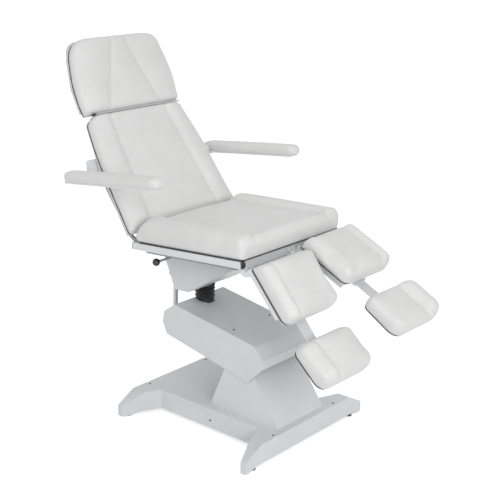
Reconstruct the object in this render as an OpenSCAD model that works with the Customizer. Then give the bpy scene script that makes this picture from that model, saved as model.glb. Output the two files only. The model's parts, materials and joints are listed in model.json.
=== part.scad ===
// Podiatry chair on a lifting arm, with tilting seat, reclining back and two separate leg rests.
// The occupant faces -Y, the occupant's right is -X, and the floor is Z = 0.

/* [Base] */
// Length of the base over its front and rear edges
base_len = 674; // [660:1:700]
// Width of the base over its rear feet
base_rear_w = 646; // [630:1:680]
// Width of the base over its front feet
base_front_w = 714; // [700:1:760]
// Width of the base at its straight waist
base_waist_w = 354; // [346:1:380]
// Length of the straight waist
waist_len = 492; // [470:1:500]
// Height of the flat top of the base covers
base_h = 91; // [86:1:100]
// Height of the covers at the foot tips
tip_h = 47; // [46:1:56]
// Length of the sloping end of each foot
slope_len = 84; // [70:1:100]
// Length of the small end face of each foot
tip_face = 24; // [20:1:30]
// Gap between the foot tips and the floor
tip_gap = 4; // [3:0.5:6]
// Gap between the side skirts and the floor
skirt_gap = 14; // [10:1:18]
// Thickness of the folded sheet covers
sheet = 2; // [1.5:0.1:2.5]

/* [Column] */
// Width of the column cover at its foot
col_foot_w = 278; // [274:1:280]
// Width of the column cover at its head
col_head_w = 268; // [260:1:274]
// Height of the column cover's head above the floor
col_h = 300; // [290:1:304]
// Distance of the cover's front foot line in front of the origin
col_front = 308; // [300:1:316]
// Distance of the cover's rear foot line behind the origin
col_rear = 22; // [16:1:28]
// Distance of the front head line in front of the origin
col_head_front = 156; // [150:1:170]
// Distance of the rear head line in front of the origin
col_head_rear = 60; // [50:1:64]

/* [Lift arm] */
// Distance of the arm's lower pivot in front of the origin
lift_y = 100; // [96:1:104]
// Height of the arm's lower pivot
lift_z = 377; // [372:1:390]
// Length of the arm between its pivots
arm_len = 284; // [280:1:288]
// Slope of the arm at rest, up towards the rear
arm_pitch = 8.8; // [7:0.1:10]
// Width over the arm cover
arm_w = 286; // [284:1:296]
// Height of the arm cover's top above the pivot line
arm_top = 21; // [21:0.5:24]
// Radius of the arm's ends round the pivots
arm_end_r = 17; // [15:0.5:18]
// Distance between the arm and the levelling link
link_drop = 60; // [56:1:64]

/* [Seat] */
// Width of the seat cushion
seat_w = 587; // [580:1:600]
// Distance of the seat's middle behind the origin
seat_y = 20; // [16:1:24]
// Height of the cushion's underside at the seat's middle
seat_z = 742.7; // [740:0.5:760]
// Upward tilt of the seat's front at rest
seat_tilt = 4.7; // [3:0.1:6]
// Reach of the cushion in front of its middle
seat_front = 266; // [262:1:270]
// Reach of the cushion behind its middle
seat_rear = 271; // [268:1:274]
// Thickness of the cushion at its front
seat_t = 79; // [70:1:90]
// Extra thickness of the cushion towards the back
seat_rise = 12; // [0:1:16]
// Height of the frame rails
rail_h = 25; // [22:1:28]
// Depth of the frame rails below the seat plane
pan_t = 12; // [9:1:15]

/* [Back] */
// Distance of the back hinge behind the seat's middle
back_v = 262; // [260:1:264]
// Depth of the back hinge below the cushion's underside
back_w = 22; // [20:1:24]
// Angle between the back and the seat plane at rest
back_angle = 58.2; // [56:0.1:60]
// Distance of the back cushion's top from the hinge
back_len = 520; // [510:1:530]
// Distance of the back cushion's lower end from the hinge
back_start = 42; // [40:1:50]
// Half width of the back at its lower end
back_low = 300; // [294:1:304]
// Half width of the back at its shoulders
back_mid = 282; // [276:1:288]
// Half width of the back at its top
back_top = 250; // [244:1:256]
// Thickness of the back cushion
back_t = 57; // [50:1:62]
// Thickness of the back's board
shell_t = 16; // [12:1:18]

/* [Headrest] */
// Forward angle of the headrest against the back
head_angle = 13; // [10:0.5:14]
// Length of the headrest from its hinge
head_len = 300; // [290:1:320]
// Half width of the headrest at its lower end
head_low = 254; // [246:1:260]
// Half width of the headrest at its widest
head_mid = 262; // [256:1:270]
// Half width of the headrest where its corners begin
head_high = 240; // [230:1:250]
// Radius of the headrest's top corners
head_corner = 64; // [50:1:80]

/* [Armrests] */
// Distance of each armrest's middle from the centre line
arm_x = 387; // [384:1:396]
// Length of an armrest pad
pad_len = 485; // [460:1:500]
// Width of an armrest pad
pad_w = 68; // [60:1:70]
// Thickness of an armrest pad
pad_t = 40; // [34:1:44]
// Upward slope of the armrests towards the front
pad_slope = 6.85; // [4:0.05:9]
// Distance of an armrest's front end behind the origin
pad_y = 58; // [50:1:66]
// Height of an armrest's front end
pad_z = 1019; // [1014:1:1030]

/* [Leg rests] */
// Distance of the leg hinge in front of the seat's middle
leg_v = 251; // [248:1:254]
// Depth of the leg hinge below the cushion's underside
leg_w = 48.5; // [48:0.5:52]
// Angle of the right leg rest below the seat plane
right_angle = 53.3; // [50:0.1:56]
// Angle of the left leg rest below the seat plane
left_angle = 29.9; // [27:0.1:32]
// Gap between each leg rest and the centre line
leg_gap = 3; // [2:0.5:6]
// Width of a leg cushion
leg_wide = 281; // [276:1:284]
// Distance of a leg cushion's lower end from its hinge
leg_len = 240; // [232:1:250]
// Distance of a leg cushion's upper end from its hinge
leg_start = 20; // [19:0.5:24]
// Height of a leg cushion's underside above its hinge
leg_seat = 40; // [38:0.5:44]
// Thickness of a leg cushion
leg_t = 66; // [58:1:70]
// Width of an extension bar
bar_w = 50; // [44:1:54]
// Thickness of an extension bar
bar_t = 6; // [5:0.5:8]

/* [Foot pads] */
// Distance of the foot pad hinge from the leg hinge at rest
foot_l = 322; // [316:1:330]
// Angle of the right foot pad against its leg rest
right_foot = -6; // [-8:0.5:-2]
// Angle of the left foot pad against its leg rest
left_foot = 6; // [2:0.5:8]
// Width of a foot pad
foot_w = 286; // [270:1:288]
// Length of a foot pad
foot_len = 172; // [160:1:180]
// Thickness of a foot pad's cushion
foot_t = 60; // [50:1:66]

/* [Hidden] */

white = [0.93, 0.94, 0.95];
leather = [0.9, 0.9, 0.89];
steel = [0.62, 0.64, 0.66];
black = [0.08, 0.08, 0.09];

// Overrun of every cut past the face it leaves
over = 1;
// Running clearance between a pin and its bore, on the radius
run = 0.05;
// Clearance between faces that slide past each other
slide = 0.3;

// Frame inside the base
tube_h = 30;
tube_w = 26;
frame_z = 16;
rail_x = 75;
foot_in = 19;
foot_y = base_len / 2 - foot_in;
foot_inset_rear = 37;
foot_inset_front = 57;
cross_inset_rear = 30;
cross_inset_front = 45;
foot_r = 15;
foot_disc = 8;
stem_r = 6;
waist_lead = 3;
seam_y = 4;
notch_gap = 2;
foot_flat = 22;
arch_len = 70;

// Pedestal and lift
plate = 8;
cheek_x = 50;
arm_plate_x = 62;
lift_pin_r = 11;
link_pin_r = 8;
pin_end = 3;
arm_tie_r = 13;
link_tie_r = 7;
link_x = 34;
link_r = 12;
ped_base_t = 8;
ped_front = 208;
ped_back = 32;
ped_shoulder = 100;
drive_reach = 80;
drive_angle = -4;
drive_lean = 14.5;
drive_mean_share = 0.944;
drive_z = 110;
tube_r = 18;
tube_bore = 15;
drive_tube_len = 160;
drive_rod_len = 170;
rod_r = 9;
eye_r = 13;
eye_w = 24;
drive_pin_r = 7;

// Head column
head_tube_r = 18;
head_tube_low = 26;
bellows_r = 40;
bellows_wall = 1.6;
bellows_folds = 3;
boot_rise = 9;
boot_shift = 1;
boot_r = 36;
flange_z = 497;
flange_t = 6;
flange_r = 30;
yoke_x = 30;
tilt_z = 560;
tilt_pin_r = 10;
tilt_end_r = 18;
nut_y = 337;
nut_w = 36;
nut_h = 22;
nut_end = 2;
nut_bore = 12.5;
tilt_rod_r = 10;
tilt_eye_r = 13;
tilt_eye_x = 11;
tilt_collar_h = 6;
tilt_collar = 2;
cheek_sink = 2;
cheek_trim = 3;
ear_gap = 1;
lug_pin_r = 6;
lug = 12;
lug_t = 6;
lug_lap = 10;
deck_end = 8;
tilt_rod_top = 575;
tilt_rod_low = 330;

// Tilt frame, housing and turntable, in the seat plane
deck_top = 95;
deck_t = 6;
deck_front = 92;
deck_rear = 262;
deck_tail = 345;
house_w = 270;
house_low = 222;
house_sheet = 3;
swivel_v = 80;
drum_r = 92;
cap_r = 104;
cap_top = 43;
cap_t = 8.7;
spindle_r = 15;
spindle_end = 2;
spindle_gap = 1;
cap_gap = 4;
cap_skirt = 14;
lever_v = 140;
lever_x = 106;
lever_stud = 38;
lever_stud_r = 11;
lever_pin_r = 5;
lever_h = 30.5;
lever_root = 8;
lever_reach = 160;
lever_yaw = 16;
lever_drop = 6;
lever_r = 5;
knob_r = 14.5;

// Seat frame
rail_w = 20;
rail_out = 6;
mount_plate = 240;
cross_v = [-60, 60, 215];
rail_wall = 2;
rail_front = 249;
rail_rear = 274;
beam_v = [-238, -219];
beam_low = 50;
beam_wall = 3;
cap_out = 7;
cap_rear = 3;
plug_len = 20;
plug_gap = 0.1;
sub_w = 16;
sub_low = 50;
sub_v = [-218, 225];
board_t = 4;
seat_sink = pan_t - board_t;
board_inset = 14;
board_short = 12;
act_ear_x = 20;
act_ear_t = 3;
act_ear_fore = 24;
act_ear_half = 10;
act_ear_low = 8;
act_pad_t = 3;
trunnion_r = 6;
trunnion_x = 23;
ear_t = 8;
hinge_rod_r = 6;
knuckle_r = 11;

// Back
back_pin_r = 8;
back_pin_in = 13;
back_ear_r = 14;
back_gap = 3.5;
frame_n = 20;
lever_side = 170;
frame_foot = 64;
upper_in = 60;
top_in = 30;
spine_x = 140;
head_ear_x = [100, 132];
head_ear_t = 8;
head_pin_r = 5;
head_pin_x = [98, 142];
crank_x = [-18, 12];
crank_t = 6;
crank_pin_r = 6;
crank_r = 55;
crank_mid = 21.5;
crank_mean_share = 0.918;
arm_l = 318;
arm_n = 34;
head_l = 531;
head_n = 20;
frame_upper = arm_l - upper_in;
frame_top = head_l - top_in;

arm_rise = [cos(arm_pitch), sin(arm_pitch)];
head_y = -lift_y + arm_len * arm_rise[0];
head_z = lift_z + arm_len * arm_rise[1];

// Inward parallel of an outline whose points run anticlockwise
function shrink(p, d) = [for (i = [0:len(p) - 1])
    let (a = p[(i + len(p) - 1) % len(p)], b = p[i], c = p[(i + 1) % len(p)],
         u = (b - a) / norm(b - a), v = (c - b) / norm(c - b),
         m = [-u[1], u[0]], n = [-v[1], v[0]])
    b + d * (m + n) / (1 + m * n)];

function mirrored(p) = [for (i = [len(p) - 1:-1:0]) [-p[i][0], p[i][1]]];

// Extrudes a (Y, Z) outline along X between two places
module along_x(x0, x1) {
    translate([x0, 0, 0]) rotate([90, 0, 90]) linear_extrude(x1 - x0) children();
}

// Extrudes an (X, Z) outline along Y between two places
module along_y(y0, y1) {
    translate([0, y1, 0]) rotate([90, 0, 0]) linear_extrude(y1 - y0) children();
}

// Round bar along X
module pin_x(x0, x1, r) {
    translate([x0, 0, 0]) rotate([0, 90, 0]) cylinder(h = x1 - x0, r = r, $fn = 48);
}

module pair() {
    children();
    mirror([1, 0, 0]) children();
}

module box(x, y, z) {
    translate([x[0], y[0], z[0]]) cube([x[1] - x[0], y[1] - y[0], z[1] - z[0]]);
}

// Flat link outline from one eye to another at the same radius
module link_shape(l, r) {
    translate([0, -r]) square([l, 2 * r]);
    circle(r, $fn = 64);
    translate([l, 0]) circle(r, $fn = 64);
}

module at_arm() {
    translate([0, -lift_y, lift_z]) rotate([arm_pitch, 0, 0]) children();
}

module at_seat() {
    translate([0, seat_y, seat_z]) rotate([-seat_tilt, 0, 0]) children();
}

module at_back() {
    at_seat() translate([0, back_v, -back_w]) rotate([back_angle, 0, 0]) children();
}

module at_head() {
    at_back() translate([0, head_l, -head_n]) rotate([head_angle, 0, 0]) children();
}

// Leg rest frame: +Y runs down the leg rest, +X away from the centre line and +Z out of its top
module at_leg(side) {
    at_seat() translate([0, -leg_v, -leg_w])
        rotate([side < 0 ? right_angle : left_angle, 0, 0])
            scale([side, -1, 1]) children();
}

module at_foot(side) {
    at_leg(side) translate([bar_x, foot_l, bar_n])
        rotate([side < 0 ? -right_foot : -left_foot, 0, 0]) children();
}
head_seat = 20;
bar_n = 2;

// Outline of the base, seen from above
base_plan = let (
    l = base_len / 2, r = base_rear_w / 2, f = base_front_w / 2, w = base_waist_w / 2,
    left = [[-r, l], [-r, l - tip_face], [-w, waist_len / 2 - waist_lead],
            [-w, -waist_len / 2 - waist_lead],
            [-f, tip_face - l], [-f, -l]])
    concat(left, mirrored(left));

// Outline of the covers seen along Y: flat top, sloping ends and arched lower edge
function skirt(w) = let (
    left = [[-w / 2, tip_h], [-w / 2, tip_gap], [-w / 2 + foot_flat, tip_gap],
            [-w / 2 + arch_len, skirt_gap]],
    right = mirrored(left))
    concat([[slope_len - w / 2, base_h]], left, right, [[w / 2 - slope_len, base_h]]);

function hollow(w) = [
    [slope_len - w / 2, base_h - sheet], [-w / 2, tip_h - sheet], [-w / 2, -over],
    [w / 2, -over], [w / 2, tip_h - sheet], [w / 2 - slope_len, base_h - sheet]];

module base_half(w, y0, y1) {
    difference() {
        intersection() {
            linear_extrude(base_h) polygon(base_plan);
            along_y(y0, y1) polygon(skirt(w));
        }
        intersection() {
            translate([0, 0, -over]) linear_extrude(base_h) polygon(shrink(base_plan, sheet));
            along_y(y0 - over, y1 + over) polygon(hollow(w));
        }
    }
}

// Outlines of the tapered column cover, seen along Y and along X
col_face = [[-col_head_w / 2, col_h], [-col_foot_w / 2, base_h - sheet],
            [col_foot_w / 2, base_h - sheet], [col_head_w / 2, col_h]];
col_side = [[-col_head_front, col_h], [-col_front, base_h - sheet],
            [col_rear, base_h - sheet], [-col_head_rear, col_h]];

module column(d, extra) {
    face = shrink(col_face, d);
    side = shrink(col_side, d);
    intersection() {
        along_y(-col_front, col_rear)
            polygon([face[0] + [0, extra], face[1] - [0, extra],
                     face[2] - [0, extra], face[3] + [0, extra]]);
        along_x(-col_foot_w / 2, col_foot_w / 2)
            polygon([side[0] + [0, extra], side[1] - [0, extra],
                     side[2] - [0, extra], side[3] + [0, extra]]);
    }
}

screw_top_r = 4;
screw_head_t = 2.4;
screw_r = 2;
screw_len = 8;
base_screw_places = [[-166, 316], [166, 316], [-186, -322], [186, -322]];
side_screw_y = -12;
side_screw_z = 44;

module base_screw_spots() {
    for (p = base_screw_places) translate([p[0], p[1], base_h]) children();
    for (s = [-1, 1]) translate([s * base_waist_w / 2, side_screw_y, side_screw_z])
        rotate([0, s * 90, 0]) children();
}

module screw() {
    rotate_extrude($fn = 32) polygon([[0, -screw_len], [screw_r, -screw_len], [screw_r, 0], [screw_top_r, 0],
        [screw_top_r * 0.8, screw_head_t * 0.8], [screw_top_r * 0.4, screw_head_t],
        [0, screw_head_t]]);
}

module base_screws() {
    color(steel) base_screw_spots() screw();
}

module screw_holes() {
    translate([0, 0, -4 * sheet]) cylinder(h = 8 * sheet, r = screw_r + run, $fn = 24);
}

module base_cover_rear() {
    color(white) difference() {
        base_half(base_rear_w, seam_y + slide, base_len / 2);
        box([-col_foot_w / 2 - notch_gap, col_foot_w / 2 + notch_gap],
            [0, col_rear + notch_gap], [base_h - 2 * sheet, base_h + over]);
        base_screw_spots() screw_holes();
    }
}

module base_cover_front() {
    color(white) difference() {
        union() {
            difference() {
                base_half(base_front_w, -base_len / 2, seam_y - slide);
                column(sheet, 2 * sheet);
            }
            difference() {
                column(0, 0);
                column(sheet, 2 * sheet);
            }
        }
        box([-rear_slot / 2, rear_slot / 2], [-col_head_rear - sheet * 3, col_rear],
            [rear_slot_z, col_h + over]);
        base_screw_spots() screw_holes();
    }
}
rear_slot = 96;
rear_slot_z = 190;

module foot_spots() {
    for (s = [-1, 1]) {
        translate([s * (base_rear_w / 2 - foot_inset_rear), foot_y, 0]) children();
        translate([s * (base_front_w / 2 - foot_inset_front), -foot_y, 0]) children();
    }
}

frame_wall = 2.5;
post_r = 7;
module base_frame() {
    half = tube_w / 2;
    rear_x = base_rear_w / 2 - cross_inset_rear;
    front_x = base_front_w / 2 - cross_inset_front;
    z = [frame_z, frame_z + tube_h];
    bore = [frame_z + frame_wall, frame_z + tube_h - frame_wall];
    color(steel) difference() {
        union() {
            for (s = [-1, 1]) box([s * rail_x - half, s * rail_x + half],
                [-foot_y + half, foot_y - half], z);
            box([-rear_x, rear_x], [foot_y - half, foot_y + half], z);
            box([-front_x, front_x], [-foot_y - half, -foot_y + half], z);
            for (p = base_screw_places) translate([p[0], p[1], z[1] - frame_wall / 2])
                cylinder(h = base_h - sheet - z[1] + frame_wall / 2, r = post_r, $fn = 48);
        }
        for (p = base_screw_places) translate([p[0], p[1], base_h - sheet - 2 * screw_len])
            cylinder(h = 3 * screw_len, r = screw_r + run, $fn = 24);
        for (s = [-1, 1]) box([s * rail_x - half + frame_wall, s * rail_x + half - frame_wall],
            [-foot_y, foot_y], bore);
        box([-rear_x - over, rear_x + over],
            [foot_y - half + frame_wall, foot_y + half - frame_wall], bore);
        box([-front_x - over, front_x + over],
            [-foot_y - half + frame_wall, -foot_y + half - frame_wall], bore);
        foot_spots() cylinder(h = frame_z + tube_h + over, r = stem_r + run, $fn = 32);
    }
}

module levelling_feet() {
    color(black) foot_spots() {
        rotate_extrude($fn = 48) polygon([[0, 0], [foot_r, 0], [foot_r, foot_disc / 2],
            [stem_r * 1.4, foot_disc], [stem_r, foot_disc],
            [stem_r, frame_z + tube_h + foot_disc], [0, frame_z + tube_h + foot_disc]]);
    }
}

// Side outline of a pedestal cheek with its two pivot eyes
module cheek_outline() {
    base_z = frame_z + tube_h + ped_base_t;
    polygon([[-ped_front, base_z], [-ped_back, base_z],
             [-lift_y + arm_end_r, lift_z - link_drop],
             [-lift_y + arm_end_r, lift_z], [-lift_y - arm_end_r, lift_z],
             [-lift_y - arm_end_r, lift_z - link_drop], [-ped_front, base_z + ped_shoulder]]);
    translate([-lift_y, lift_z]) circle(arm_end_r, $fn = 64);
}

module pedestal() {
    base_z = frame_z + tube_h;
    color(steel) difference() {
        union() {
            pair() along_x(cheek_x, cheek_x + plate) cheek_outline();
            box([-cheek_x - plate, cheek_x + plate], [-ped_front, -ped_back],
                [base_z, base_z + ped_base_t]);
            box([-rail_x - tube_w / 2, rail_x + tube_w / 2], [-ped_front, -ped_back],
                [base_z, base_z + ped_base_t]);
            box([-cheek_x, cheek_x], [-ped_front, -ped_front + plate],
                [base_z + ped_base_t, base_z + ped_shoulder]);
        }
        translate([0, -lift_y, lift_z])
            pin_x(-cheek_x - plate - over, cheek_x + plate + over, lift_pin_r);
        translate([0, -lift_y, lift_z - link_drop])
            pin_x(-cheek_x - plate - over, cheek_x + plate + over, link_pin_r);
    }
}

module lift_pins() {
    color(steel) {
        translate([0, -lift_y, lift_z])
            pin_x(-arm_plate_x - plate - pin_end, arm_plate_x + plate + pin_end, lift_pin_r);
        translate([0, -lift_y, lift_z - link_drop])
            pin_x(-cheek_x - plate - pin_end, cheek_x + plate + pin_end, link_pin_r);
    }
}

// Line of the lift actuator: from its foot, leaning back
drive_dir = [sin(drive_lean), cos(drive_lean)];
drive_side = [cos(drive_lean), -sin(drive_lean)];
drive_mid = [-lift_y, lift_z] + drive_reach * drive_mean_share * drive_side;
drive_foot = drive_mid - drive_dir * (drive_mid[1] - drive_z) / drive_dir[1];
drive_eye = [-lift_y, lift_z] + drive_reach * [cos(drive_angle), sin(drive_angle)];

module lift_actuator_tube() {
    motor_r = 22;
    motor_len = 70;
    color(steel) translate([0, drive_foot[0], drive_foot[1]]) rotate([-drive_lean, 0, 0]) {
        difference() {
            cylinder(h = drive_tube_len, r = tube_r, $fn = 64);
            translate([0, 0, 2 * tube_bore])
                cylinder(h = drive_tube_len, r = tube_bore, $fn = 64);
        }
        translate([0, -motor_r - tube_r + sheet, 0]) cylinder(h = motor_len, r = motor_r, $fn = 64);
        box([-tube_r, tube_r], [-motor_r - tube_r, tube_r], [-ped_base_t * 2, 0]);
    }
    color(steel) box([-cheek_x, cheek_x],
        [drive_foot[0] - tube_r * 2, drive_foot[0] + tube_r / 2],
        [frame_z + tube_h + ped_base_t, drive_foot[1] - tube_r]);
}

module lift_actuator_rod() {
    color(steel) translate([0, drive_eye[0], drive_eye[1]]) rotate([-drive_lean, 0, 0])
        difference() {
            union() {
                translate([0, 0, -drive_rod_len]) cylinder(h = drive_rod_len, r = rod_r, $fn = 48);
                pin_x(-eye_w / 2, eye_w / 2, eye_r);
            }
            pin_x(-eye_w, eye_w, drive_pin_r + run);
        }
}

module lift_arm() {
    hub = eye_w / 2 + slide;
    at = [drive_eye[0] + lift_y, drive_eye[1] - lift_z];
    a = at * arm_rise;
    b = at * [-arm_rise[1], arm_rise[0]];
    color(steel) at_arm() difference() {
        union() {
            pair() along_x(arm_plate_x, arm_plate_x + plate) link_shape(arm_len, arm_end_r);
            translate([0, arm_len / 2, 0])
                pin_x(-arm_plate_x - over, arm_plate_x + over, arm_tie_r);
            translate([0, a, b]) pin_x(-arm_plate_x - over, arm_plate_x + over, drive_pin_r);
            pair() translate([0, a, b]) pin_x(hub, link_x - slide, eye_r);
        }
        pin_x(-arm_w, arm_w, lift_pin_r + run);
        translate([0, arm_len, 0]) pin_x(-arm_w, arm_w, lift_pin_r);
    }
}

// Side outline of the arm cover, measured back from and up from the lower pivot
box_rear = 318;
box_nose = 136;
box_tail = 366;
box_deep = 131;
nose_shares = [0.537, 0.684, 0.978, 1, 0.603];
nose_deep_shares = [0, -0.107, 0.153, 0.428, 1];
tail_shares = [0.921, 0.997, 1];
tail_deep_shares = [0.87, 0.573, 0.214];
box_outline = concat(
    [[box_rear, arm_top], [-box_nose * nose_shares[0], arm_top]],
    [for (i = [1:4]) [-box_nose * nose_shares[i], -box_deep * nose_deep_shares[i]]],
    [for (i = [0:2]) [box_tail * tail_shares[i], -box_deep * tail_deep_shares[i]]]);
box_mouth = 160;
slot_rear = 315.5;
slot_front = 250;
slot_w = 44;
cover_screw_x = 106;
cover_screw_a = 46;

module arm_cover() {
    inner = shrink(box_outline, sheet);
    color(white) at_arm() difference() {
        along_x(-arm_w / 2, arm_w / 2) polygon(box_outline);
        along_x(-arm_w / 2 + sheet, arm_w / 2 - sheet) {
            polygon(inner);
            polygon([inner[4], inner[5], inner[6], [inner[6][0], -box_mouth],
                     [-box_mouth, -box_mouth], [-box_mouth, inner[4][1]]]);
        }
        box([-slot_w / 2, slot_w / 2], [slot_front, slot_rear], [0, arm_top + over]);
        arm_screw_spots() screw_holes();
    }
}

module arm_screw_spots() {
    for (s = [-1, 1]) translate([s * cover_screw_x, cover_screw_a, arm_top]) children();
}

module arm_cover_screws() {
    color(steel) at_arm() arm_screw_spots() screw();
}

module head_pin() {
    color(steel) translate([0, head_y, head_z])
        pin_x(-arm_plate_x - plate - pin_end, arm_plate_x + plate + pin_end, lift_pin_r);
}

module level_link() {
    color(steel) translate([0, -lift_y, lift_z - link_drop]) rotate([arm_pitch, 0, 0])
        difference() {
            union() {
                pair() along_x(link_x, link_x + plate) link_shape(arm_len, link_r);
                translate([0, arm_len * 0.45, 0]) pin_x(-link_x - over, link_x + over, link_tie_r);
            }
            pin_x(-arm_w, arm_w, link_pin_r + run);
            translate([0, arm_len, 0]) pin_x(-arm_w, arm_w, link_pin_r + run);
        }
}

// Rubber boot on the column: a wedge foot that sits on the sloping cover, and a ribbed sleeve
boot_z = head_z + arm_top + boot_rise;
bellows_h = flange_z + flange_t - slide - boot_z;
rib = 7;
bellows_out = [for (i = [0:bellows_folds]) each [
    [bellows_r - rib, bellows_h * i / (bellows_folds + 0.5)],
    [bellows_r, bellows_h * (i + 0.5) / (bellows_folds + 0.5)]]];

module bellows() {
    wall = [bellows_wall, 0];
    inside = [for (i = [len(bellows_out) - 1:-1:0]) bellows_out[i] - wall];
    color(black) {
        translate([0, head_y + boot_shift, boot_z])
            rotate_extrude($fn = 96) polygon(concat(bellows_out, inside));
        difference() {
            translate([0, head_y + boot_shift, head_z]) difference() {
                cylinder(h = boot_z - head_z, r = boot_r, $fn = 96);
                translate([0, 0, -over]) cylinder(h = arm_w, r = bellows_r - rib - bellows_wall, $fn = 96);
            }
            at_arm() box([-arm_w, arm_w], [0, 2 * arm_len], [-arm_w, arm_top]);
        }
    }
}

module head_column() {
    color(steel) difference() {
        union() {
            translate([0, head_y, head_z - head_tube_low])
                cylinder(h = flange_z - head_z + head_tube_low, r = head_tube_r, $fn = 64);
            translate([0, head_y, flange_z]) cylinder(h = flange_t, r = flange_r, $fn = 96);
            pair() along_x(head_tube_r - cheek_sink, head_tube_r + plate) head_cheek();
            pair() along_x(yoke_x, yoke_x + plate) yoke_outline();
            box([-yoke_x, yoke_x], [head_y - tilt_end_r, head_y + tilt_end_r],
                [flange_z + flange_t, flange_z + flange_t + nut_h]);
            box([-nut_w / 2, nut_w / 2], [head_y, nut_y + nut_w / 2 + nut_end],
                [flange_z + flange_t, flange_z + flange_t + nut_h]);
            translate([0, head_y, head_z - link_drop])
                pin_x(-link_x - plate - pin_end, link_x + plate + pin_end, link_pin_r);
        }
        translate([0, head_y, head_z]) pin_x(-arm_w, arm_w, lift_pin_r + run);
        translate([0, head_y, tilt_z]) pin_x(-arm_w, arm_w, tilt_pin_r);
        translate([0, nut_y, flange_z]) cylinder(h = arm_w, r = nut_bore, $fn = 48);
    }
}

module head_cheek() {
    translate([head_y, head_z]) circle(arm_end_r, $fn = 64);
    low_r = arm_end_r - cheek_trim;
    translate([head_y - low_r, head_z - link_drop]) square([2 * low_r, link_drop]);
    translate([head_y, head_z - link_drop]) circle(low_r, $fn = 64);
}

module yoke_outline() {
    translate([head_y, tilt_z]) circle(tilt_end_r, $fn = 64);
    translate([head_y - tilt_end_r, flange_z + flange_t])
        square([2 * tilt_end_r, tilt_z - flange_z - flange_t]);
}

module tilt_pin() {
    color(steel) translate([0, head_y, tilt_z])
        pin_x(-ear_out - pin_end, ear_out + pin_end, tilt_pin_r);
}
ear_in = yoke_x + plate + ear_gap;
ear_out = ear_in + plate;

// The tilt pivot as it lies in the seat plane
tilt_dy = head_y - seat_y;
tilt_dz = tilt_z - seat_z;
tilt_v = tilt_dy * cos(seat_tilt) - tilt_dz * sin(seat_tilt);
tilt_w = tilt_dy * sin(seat_tilt) + tilt_dz * cos(seat_tilt);
rod_dy = nut_y - seat_y;
rod_dz = tilt_rod_top - seat_z;
rod_v = rod_dy * cos(seat_tilt) - rod_dz * sin(seat_tilt);
rod_w = rod_dy * sin(seat_tilt) + rod_dz * cos(seat_tilt);

module tilt_frame() {
    half = house_w / 2 - side_in - house_sheet;
    color(steel) at_seat() difference() {
        union() {
            box([-half, half], [-deck_front, deck_rear - deck_end], [-deck_top - deck_t, -deck_top]);
            box([-lug - lug_t, lug + lug_t], [deck_rear - lug_lap, rod_v + lug],
                [-deck_top - deck_t, -deck_top]);
            pair() along_x(ear_in, ear_out) {
                translate([tilt_v, tilt_w]) circle(tilt_end_r, $fn = 64);
                translate([tilt_v - tilt_end_r, tilt_w])
                    square([2 * tilt_end_r, -deck_top - tilt_w]);
            }
            pair() along_x(lug, lug + lug_t) {
                translate([rod_v, rod_w]) circle(lug, $fn = 48);
                translate([rod_v - lug, rod_w]) square([2 * lug, -deck_top - rod_w]);
            }
            translate([0, rod_v, rod_w]) pin_x(-lug - lug_t, lug + lug_t, lug_pin_r);
            translate([-lever_x, lever_v, -deck_top - deck_t / 2])
                cylinder(h = deck_t / 2 + lever_stud + pin_end, r = lever_pin_r, $fn = 48);
        }
        translate([0, tilt_v, tilt_w]) pin_x(-arm_w, arm_w, tilt_pin_r + run);
    }
}

module tilt_rod() {
    color(steel) translate([0, nut_y, 0]) difference() {
        union() {
            translate([0, 0, tilt_rod_low])
                cylinder(h = tilt_rod_top - tilt_rod_low, r = tilt_rod_r, $fn = 48);
            translate([0, 0, tilt_rod_top]) pin_x(-tilt_eye_x, tilt_eye_x, tilt_eye_r);
            translate([0, 0, tilt_rod_low])
                cylinder(h = tilt_collar_h, r = tilt_rod_r + tilt_collar, $fn = 48);
        }
        translate([0, 0, tilt_rod_top]) pin_x(-2 * tilt_eye_x, 2 * tilt_eye_x, lug_pin_r + run);
    }
}

// Side outline of the housing: slanting rear, rounded lower corners and long rising front
house_rear_low = 224;
house_front_low = 150;
house_front_top = -deck_front;
house_front_r = 26;
house_rear_r = 24;
side_in = 1.2;
notch_side = 8;
front_turn = [235, 270];
rear_turn = [270, 345];
function arc(c, r, turn, n) = [for (i = [0:n]) let (a = turn[0] + (turn[1] - turn[0]) * i / n)
    c + r * [cos(a), sin(a)]];
house_side = concat(
    [[house_front_top, -deck_top]],
    arc([house_front_low, -house_low + house_front_r], house_front_r, front_turn, 6),
    arc([house_rear_low - house_rear_r, -house_low + house_rear_r], house_rear_r, rear_turn, 6),
    [[deck_rear, -deck_top]]);

module tilt_housing() {
    half = house_w / 2;
    n = len(house_side);
    inner = shrink(house_side, house_sheet);
    color(white) at_seat() {
        pair() along_x(half - side_in - house_sheet, half - side_in) polygon(house_side);
        difference() {
            along_x(-half, half) polygon(concat(house_side,
                [[inner[n - 1][0], -deck_top]], [for (i = [n - 2:-1:1]) inner[i]],
                [[inner[0][0], -deck_top]]));
            box([-ear_out - notch_side, ear_out + notch_side],
                [tilt_v - tilt_end_r * 2.6, deck_rear + over],
                [-house_low - over, tilt_w + tilt_end_r]);
            box([-house_w, house_w], [-deck_front - over, deck_rear + over],
                [-deck_top - deck_t, 0]);
        }
    }
}

module turntable_lower() {
    color(black) at_seat() translate([0, swivel_v, -deck_top]) {
        cylinder(h = deck_top - cap_top - cap_t - slide, r = drum_r, $fn = 128);
        cylinder(h = deck_top - cap_top + spindle_end, r = spindle_r, $fn = 64);
    }
}

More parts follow.
